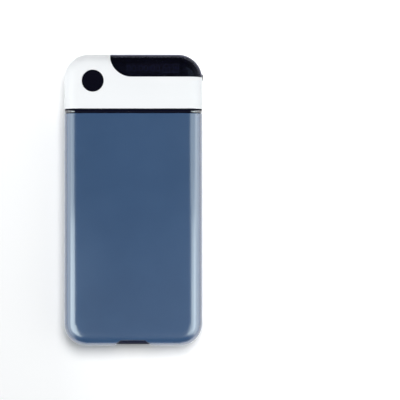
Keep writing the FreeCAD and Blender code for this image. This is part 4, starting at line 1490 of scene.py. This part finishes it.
@dataclass
class CablePort:
    """The dark insert in the bottom notch, with the cable's slot."""

    slot_half: float = 5.5
    slot_z: Pair = (7.75, 14.25)
    slot_corner: float = 1.5
    slot_reach: Pair = (-99.0, -88.0)
    mouth: tuple[Pair, ...] = ((0.5, -94.9), (0.5, -94.2), (0.0, -93.6), (0.0, -93.4))
    inset: float = 0.8
    gap: float = 0.1
    flange: tuple[Pair, Pair, Pair] = ((-17.0, 17.0), (-92.9, -91.4), (8.1, 13.9))
    edge_round: float = 0.18

    def _section(self, grow: float = 0.0) -> list[Pair]:
        """The slot's section, grown evenly."""
        x, z = about(0.0, self.slot_half + grow), widened(self.slot_z, grow)
        return rounded(x, z, self.slot_corner + grow)

    def build(self) -> None:
        """Makes the insert, with an eased mouth round its slot."""
        slot = prism(self._section(), self.slot_reach, Axis.Y)
        steps = ((Cut.KEEP, FORM.notch(self.gap)), (Cut.JOIN, block(*self.flange)), (Cut.TAKE, slot))
        piece = combine(FORM.solid(self.inset), *steps)
        mouth = [[Axis.Y.point(x, z, y) for x, z in self._section(grow)] for grow, y in self.mouth]
        soften(combine(piece, (Cut.TAKE, loft(mouth))), self.edge_round, segments=3)
        finish_piece(piece, "port_insert", "sleeve", "port_navy", ["cable_port"])


@dataclass(frozen=True)
class Pad:
    """A soft pad over a rounded rectangle, glued flat on one side and crowned on the other."""

    name: str
    node: str
    axis: Axis
    across: Pair
    up: Pair
    depth: Pair
    corner: float
    slot: str = "pad_felt"
    fill: float = 0.5
    body: str = "sleeve"
    edge: float = 1.1
    edge_share: float = 0.7
    side: float = 0.45
    shoulder: float = 0.92
    crown: float = 0.92
    sharpest: float = 0.15
    steps: int = 6

    def _levels(self) -> list[Pair]:
        """The rings from the glued side to the crown.

        Returns:
            How far in each ring lies, and the share of the depth that it lies at.
        """
        edge = min(self.edge, abs(self.depth[1] - self.depth[0]) * self.edge_share)
        half = min(self.across[1] - self.across[0], self.up[1] - self.up[0]) / 2
        round_edge, top = [], []
        for i in range(1, self.steps + 1):
            rise = math.sin(math.radians(90 * i / self.steps))
            fall = 1 - math.cos(math.radians(90 * i / self.steps))
            round_edge.append((edge * fall, self.side + (self.shoulder - self.side) * rise))
            inset = edge + (half * self.crown - edge) * i / self.steps
            top.append((inset, self.shoulder + (1 - self.shoulder) * rise))
        return [(0.0, 0.0), (0.0, self.side), *round_edge, *top]

    def build(self) -> None:
        """Makes the pad."""
        rings = []
        for inset, share in self._levels():
            corner = max(self.sharpest, self.corner - inset)
            section = rounded(widened(self.across, -inset), widened(self.up, -inset), corner, steps=6)
            level = self.depth[0] + (self.depth[1] - self.depth[0]) * share
            rings.append([self.axis.point(u, v, level) for u, v in section])
        pad = finish_piece(crease(loft(rings), angle=60.0), self.name, self.body, self.slot, [self.node])


@dataclass
class Lining:
    """The soft liners of the bay, the foam blocks at its bottom end and the stop at the phone's end."""

    flat: tuple[Pair, Pair] = ((-37.2, 37.2), (-87.2, 48.05))
    side: tuple[Pair, Pair] = ((-80.2, 48.05), (8.1, 13.9))
    end: tuple[Pair, Pair] = ((8.1, 13.9), (-92.9, -90.9))

    def build(self) -> None:
        """Makes every pad."""
        foam = ("foam_black", 0.7)
        stop = ((-38.95, 38.95), (6.65, 16.4), (70.1, 68.9), 2.0)
        pads = (
            Pad("lining_front", "front_pad", Axis.Z, *self.flat, (19.9, 18.25), 6.7),
            Pad("lining_back", "back_pad", Axis.Z, *self.flat, (2.1, 4.55), 6.7),
            Pad("lining_left", "left_side_pad", Axis.X, *self.side, (-42.9, -41.05), 1.2),
            Pad("lining_right", "right_side_pad", Axis.X, *self.side, (42.9, 41.05), 1.2),
            Pad("end_block_left", "end_pads", Axis.Y, (-30.5, -17.3), *self.end, 1.2, *foam),
            Pad("end_block_right", "end_pads", Axis.Y, (17.3, 30.5), *self.end, 1.2, *foam),
            Pad("phone_stop", "phone_end_pad", Axis.Y, *stop, *foam, "cap"),
        )
        for pad in pads:
            pad.build()


@dataclass
class Fasteners:
    """The screws and rivets."""

    cap_level: float = 0.6
    cap_shank: float = 9.4
    board_places: tuple[Point, ...] = ((-31.81, 79.8, 18.1), (6.91, 74.6, 18.1), (22.91, 74.6, 18.1))
    board_shank: float = 3.6
    strap_place: Point = (14.91, 75.0, 6.7)
    strap_shank: float = 1.9
    rivet_level: float = 2.35
    rivet_round: float = 0.1

    def build(self) -> None:
        """Makes them all."""
        head = {"Head_Radius": 1.4, "Head_Height": 1.0, "Socket_Radius": 0.65, "Socket_Depth": 0.5}
        small = {**head, "Shank_Radius": 0.8, "Pitch": 0.35, "Turn": math.pi}
        cap_places = [(*place, self.cap_level) for place in LAYOUT.bosses]
        rows = (
            ("cap_screw_set", "cap_screws", cap_places, self.cap_shank, {}),
            ("board_screw_set", "board_screws", self.board_places, self.board_shank, small),
            ("strap_screw", "board_screws", (self.strap_place,), self.strap_shank, small),
        )
        for name, node, places, shank, sizes in rows:
            screws = SCREWS.grow(places, "screw_steel", Shank_Length=shank, **sizes)
            finish_piece(screws, name, "cap", "screw_steel", [node])
        rivets = RIVETS.grow([(*place, self.rivet_level) for place in LAYOUT.rivets], "screw_steel")
        soften(rivets, self.rivet_round)
        finish_piece(rivets, "rivet_set", "sleeve", "screw_steel", ["keeper_rivets"])


@dataclass
class LockDrive:
    """The lead screw, its nut and bearing, the lock bar and keeper, and the motor that turns the screw."""

    screw_start: float = -2.09
    rows: tuple[tuple[str, str, float, str], ...] = (
        ("drive_nut", "nut", 0.12, "lock_slide"),
        ("lock_bar", "bar", 0.12, "lock_slide"),
        ("keeper_plate", "keeper", 0.12, "sleeve"),
        ("screw_bush", "bush", 0.1, "cap"),
        ("motor_gearbox", "gear_case", 0.2, "cap"),
        ("lock_motor", "motor", 0.3, "cap"),
        ("motor_strap", "saddle", 0.12, "cap"),
        ("motor_terminals", "terminals", 0.06, "cap"),
    )
    plate_x: tuple[float, ...] = (10.96, 18.16)
    plate_y: Pair = (78.05, 89.95)
    plate_z: Pair = (4.85, 14.75)
    plate_thickness: float = 0.7
    plate_corner: float = 1.5
    plate_bore: float = 1.2
    plate_round: float = 0.12

    def build(self) -> None:
        """Makes every piece of the drive."""
        spindle = SPINDLES.grow([(self.screw_start, *LAYOUT.screw_line)], "screw_steel")
        finish_piece(spindle, "spindle", "lock_screw", "screw_steel", ["lead_screw"])
        for row in self.rows:
            dress_copy(*row)
        section = rounded(self.plate_y, self.plate_z, self.plate_corner)
        hole = disc(LAYOUT.screw_line, self.plate_bore, count=32)
        for number, x in enumerate(self.plate_x):
            reach = (x, x + self.plate_thickness)
            plate, bore = prism(section, reach, Axis.X), prism(hole, widened(reach, CLEAR), Axis.X)
            soften(combine(plate, (Cut.TAKE, bore)), self.plate_round)
            finish_piece(plate, f"gear_plate_{number}", "cap", "brass", ["motor_gearbox"])


@dataclass
class Electronics:
    """Boards with their parts, the display, the switches, the battery and the leads."""

    rows: tuple[tuple[str | float, ...], ...] = (
        ("cap_chassis", "chassis", 0.15),
        ("main_board", "board", 0.08),
        ("charge_board", "charger", 0.08),
        ("tact_switch", "push_switch", 0.1),
        ("buzzer", "sounder", 0.15),
        ("battery_cell", "battery", 0.2),
        ("battery_leads", "battery_wires", 0.0),
        ("motor_leads", "motor_wires", 0.0),
        ("usb_receptacle", "charge_socket", 0.08),
        ("display_flex", "flex", 0.0),
        ("switch_body", "slide_switch", 0.12),
        ("switch_pins", "switch_legs", 0.05),
        ("display_panel", "panel", 0.12),
        ("tact_plunger", "plunger", 0.12, "push_button"),
    )
    gasket_round: float = 0.15
    chip_round: float = 0.08
    leg_level: float = 17.3
    leg_pitch: float = 0.9
    leg_margin: float = 0.3
    leg_size: Point = (0.3, 0.9, 0.38)

    def build(self) -> None:
        """Makes every piece."""
        for row in self.rows:
            dress_copy(*row)
        gasket = dress_copy("display_gasket", "gasket", self.gasket_round)
        chips = from_node("board_parts", self.chip_round)
        points = self._legs(boxes_of(chips))
        finish_piece(chips, "chips", "cap", SLOTS["board_parts"], ["board_parts"])
        sizes = {f"Size_{axis}": size for axis, size in zip("XYZ", self.leg_size)}
        legs = RIBS.grow(points, "switch_shell", **sizes)
        finish_piece(legs, "chip_legs", "cap", "switch_shell", ["board_parts"])

    def _legs(self, chips: Sequence[tuple[Vector, Vector]]) -> list[Point]:
        """Where the legs along both sides of every chip stand.

        Args:
            chips: The lowest and highest corner of each chip.

        Returns:
            The legs' places, in millimetres.
        """
        points = []
        for low, high in chips:
            count = max(2, int((high.x - low.x) / self.leg_pitch))
            step = (high.x - low.x - 2 * self.leg_margin) / (count - 1)
            places = [low.x + self.leg_margin + i * step for i in range(count)]
            points += [(x, y, self.leg_level) for x in places for y in (low.y, high.y)]
        return points


@dataclass
class DotMatrix:
    """The lit dots of the display: a time of noughts, an open padlock and a battery."""

    left: float = -3.8
    top: float = 88.3
    pitch: float = 0.554
    level: float = 18.72
    dot: float = 0.23
    thickness: float = 0.06
    time: str = "00:00:00"
    time_row: int = 2
    sign_gap: int = 3
    blank: str = ".."
    nought: str = ".###. #...# #...# #...# #...# #...# .###."
    colon: str = ".. .. #. .. #. .. .."
    padlock: str = """
        ...###...
        ..#...#..
        .#.....#.
        .#.......
        ###...###
        #..###..#
        #.......#
        #...#...#
        #...#...#
        #.......#
        #########"""
    battery: str = """
        .#####.
        #.....#
        #...#.#
        #..#..#
        #.##..#
        #.###.#
        #..##.#
        #..#..#
        #.#...#
        #.....#
        .#####."""

    def build(self) -> None:
        """Sets a dot at every lit place."""
        signs = {"0": (self.nought, self.time_row, 1), ":": (self.colon, self.time_row, 0)}
        marks = [(self.blank, 0, 0), (self.padlock, 0, self.sign_gap), (self.battery, 0, 0)]
        points: list[Point] = []
        column = 0
        for picture, row, space in [signs[sign] for sign in self.time] + marks:
            glyph = picture.split()
            points += self._dots(glyph, column, row)
            column += len(glyph[0]) + space
        dots = DOTS.grow(points, "pixel_glow", Radius=self.dot, Height=self.thickness)
        finish_piece(dots, "display_dots", "cap", "panel_glass", finish="pixel_glow")

    def _dots(self, glyph: Sequence[str], column: int, row: int) -> list[Point]:
        """Where one sign's dots lie.

        Args:
            glyph: The sign's rows, with a mark for each dot.
            column: Its first column.
            row: Its first row from the top.

        Returns:
            The dots' places, in millimetres.
        """
        return [
            (self.left + (column + i) * self.pitch, self.top - (row + j) * self.pitch, self.level)
            for j, line in enumerate(glyph)
            for i, mark in enumerate(line)
            if mark == "#"
        ]


# ------------------------------------------------------------------ studio


WHITE = (1.0, 1.0, 1.0)
COOL = (0.87, 0.99, 1.0)


class Reach(Enum):
    """What a lamp shines on."""

    ALL = "ALL"
    FLOOR = "INCLUDE"
    CASE = "EXCLUDE"


@dataclass(frozen=True)
class Lamp:
    """One soft rectangular lamp: where it stands, its size, how bright its face is and its colour."""

    name: str
    place: Point
    size: Pair
    shine: float
    colour: Colour = COOL
    in_gloss: bool = True
    in_shade: bool = False
    reach: Reach = Reach.ALL

    def hang(self, floor: Piece) -> None:
        """Hangs the lamp so that it faces the origin, with its second side along Y.

        Args:
            floor: The floor, which the lamp may leave out or light alone.
        """
        lamp = bpy.data.lights.new(self.name, "AREA")
        lamp.shape = "RECTANGLE"
        lamp.size, lamp.size_y = self.size
        lamp.color = self.colour
        lamp.energy = self.shine * math.pi * self.size[0] * self.size[1]
        holder = bpy.data.objects.new(self.name, lamp)
        holder.location = self.place
        holder.visible_glossy = self.in_gloss
        holder.visible_diffuse = self.in_shade
        holder.rotation_mode = "QUATERNION"
        back = Vector(self.place).normalized()
        side = (Vector((0.0, 1.0, 0.0)) - back * back.y).normalized()
        holder.rotation_quaternion = Matrix((side.cross(back), side, back)).transposed().to_quaternion()
        bpy.context.scene.collection.objects.link(holder)
        if self.reach is not Reach.ALL:
            lit = bpy.data.collections.new(f"{self.name}_reach")
            lit.objects.link(floor)
            holder.light_linking.receiver_collection = lit
            lit.collection_objects[0].light_linking.link_state = self.reach.value


def shade_lamp(name: str, place: Point, size: Pair, shine: float, reach: Reach = Reach.CASE) -> Lamp:
    """A white lamp that no reflection shows."""
    return Lamp(name, place, size, shine, WHITE, in_gloss=False, in_shade=True, reach=reach)


@dataclass
class Studio:
    """Pale floor, soft lamps and the camera."""

    camera_place: Point = (0.0435, 0.0, 0.772)
    lens: float = 104.4
    floor_half: float = 1.5
    paper: Pair = (0.975, 0.99)
    # Painted light on the floor, stronger to the right of the case: the range across it, and the glow at its
    # two ends.
    painted_right_glow: tuple[Pair, Pair] = ((-0.05, 0.06), (0.07, 0.3))
    far_lift: tuple[Pair, Pair] = ((0.2, 1.2), (0.0, 0.9))
    side_light: tuple[Pair, Pair] = ((0.4, 0.95), (0.015, 1.25))
    skyline: tuple[Pair, Pair] = ((-0.3, -0.6), (0.0, 0.085))
    backdrop: float = 1.1
    sky: Colour = (0.92, 0.97, 1.0)
    lamps: tuple[Lamp, ...] = (
        shade_lamp("key", (0.15, 0.34, 1.0), (0.46, 0.50), 12.6, Reach.FLOOR),
        shade_lamp("front", (0.02, -0.36, 1.0), (0.6, 0.5), 6.7),
        shade_lamp("top", (0.0, -0.1, 1.25), (1.0, 1.2), 1.43),
        shade_lamp("corner", (-0.62, 0.62, 0.16), (0.5, 0.2), 4.5),
        Lamp("left_box", (-0.525, -0.24, 0.857), (0.64, 0.44), 3.15),
        Lamp("left_fade", (-0.51, -0.54, 0.84), (0.50, 0.16), 1.2),
        Lamp("left_glow", (-0.53, 0.17, 0.85), (0.56, 0.38), 1.5),
        Lamp("right_box", (0.515, -0.24, 0.86), (0.64, 0.44), 2.5),
        Lamp("right_edge", (0.20, -0.24, 0.95), (0.11, 0.44), 1.3),
        Lamp("right_fade", (0.50, -0.54, 0.84), (0.50, 0.16), 1.2),
        Lamp("right_glow", (0.32, 0.17, 0.96), (0.42, 0.38), 1.35),
        Lamp("left_wall", (-0.85, -0.25, 0.36), (0.56, 1.1), 0.42),
        Lamp("right_low", (0.95, -0.25, 0.12), (0.2, 1.1), 0.8),
        Lamp("right_wall", (0.78, -0.25, 0.60), (0.80, 1.1), 1.3),
    )

    def build(self) -> None:
        """Makes all of it."""
        scene = bpy.context.scene
        scene.view_settings.view_transform = "Standard"
        floor = self._floor()
        scene.world = self._world()
        for lamp in self.lamps:
            lamp.hang(floor)
        camera = bpy.data.objects.new("camera", bpy.data.cameras.new("camera"))
        camera.location = self.camera_place
        camera.data.lens = self.lens
        camera.data.clip_start = 0.01
        scene.collection.objects.link(camera)
        scene.camera = camera

    def _floor(self) -> Piece:
        """The pale floor that the case lies on, with painted light that is stronger right of the case than
        left of it.

        Returns:
            The floor.
        """
        half = self.floor_half
        corners = [(-half, -half, 0), (half, -half, 0), (half, half, 0), (-half, half, 0)]
        floor = mesh_object(corners, [(0, 1, 2, 3)], "studio_floor")
        graph, shader, material = new_material("studio_paper")
        cloud = graph.effect(EFFECTS.grain, Grain_Scale=300.0, Cloud_Scale=3.0).outputs["Cloud"]
        dim, bright = ((tone,) * 3 for tone in self.paper)
        across = graph.add("ShaderNodeSeparateXYZ", {0: graph.place()}).outputs["X"]
        away = graph.vectors("LENGTH", graph.place()).outputs["Value"]
        # Painted light: seen by the camera and in reflections, the floor glows 0.07 left of the case and 0.3
        # right of it, which washes out the shade to its right. Further out the glow rises, so the far floor
        # stays evenly white.
        lift = graph.math("ADD", graph.ramp(across, *self.painted_right_glow), graph.ramp(away, *self.far_lift))
        seen = graph.math("MULTIPLY", graph.rays("Camera", "Transmission", "Glossy"), lift)
        tone = graph.blend(cloud, dim, bright)
        graph.feed(shader, {"Base Color": tone, "Roughness": 1.0, "Specular IOR Level": 0.0})
        graph.feed(shader, {"Emission Color": (*WHITE, 1.0), "Emission Strength": seen})
        floor.data.materials.append(material)
        return floor

    def _world(self) -> bpy.types.World:
        """The even light all round, dim overhead and bright at the two sides.

        Returns:
            The world.
        """
        world = bpy.data.worlds.new("studio_world")
        world.use_nodes = True
        graph = Graph(world.node_tree)
        way = graph.add("ShaderNodeTexCoord").outputs["Generated"]
        parts = graph.add("ShaderNodeSeparateXYZ", {0: way}).outputs
        sides = graph.ramp(graph.math("ABSOLUTE", parts["X"]), *self.side_light)
        level = graph.math("MAXIMUM", sides, graph.ramp(parts["Y"], *self.skyline))
        seen = graph.math("MULTIPLY", graph.rays("Camera", "Transmission"), self.backdrop)
        light = {"Color": (*self.sky, 1.0), "Strength": graph.math("MAXIMUM", level, seen)}
        graph.feed(world.node_tree.nodes["Background"], light)
        return world


# ------------------------------------------------------------------ the whole


def dress_nodes() -> None:
    """Gives every frame node its finish."""
    for node, slot in SLOTS.items():
        materials = frame["nodes"][node].data.materials
        materials.clear()
        materials.append(MATERIALS[slot])


def main() -> None:
    """Builds every sub-assembly in order."""
    logging.basicConfig(level=logging.INFO, format="%(name)s: %(message)s")
    dress_nodes()
    outside = (Sleeve(), Collar(), Cap(), Window(), Button(), Slider(), CablePort())
    inside = (Lining(), Fasteners(), LockDrive(), Electronics(), DotMatrix())
    for assembly in (*outside, *inside, Studio()):
        log.info("building %s", type(assembly).__name__)
        assembly.build()


if __name__ == "__main__":
    main()
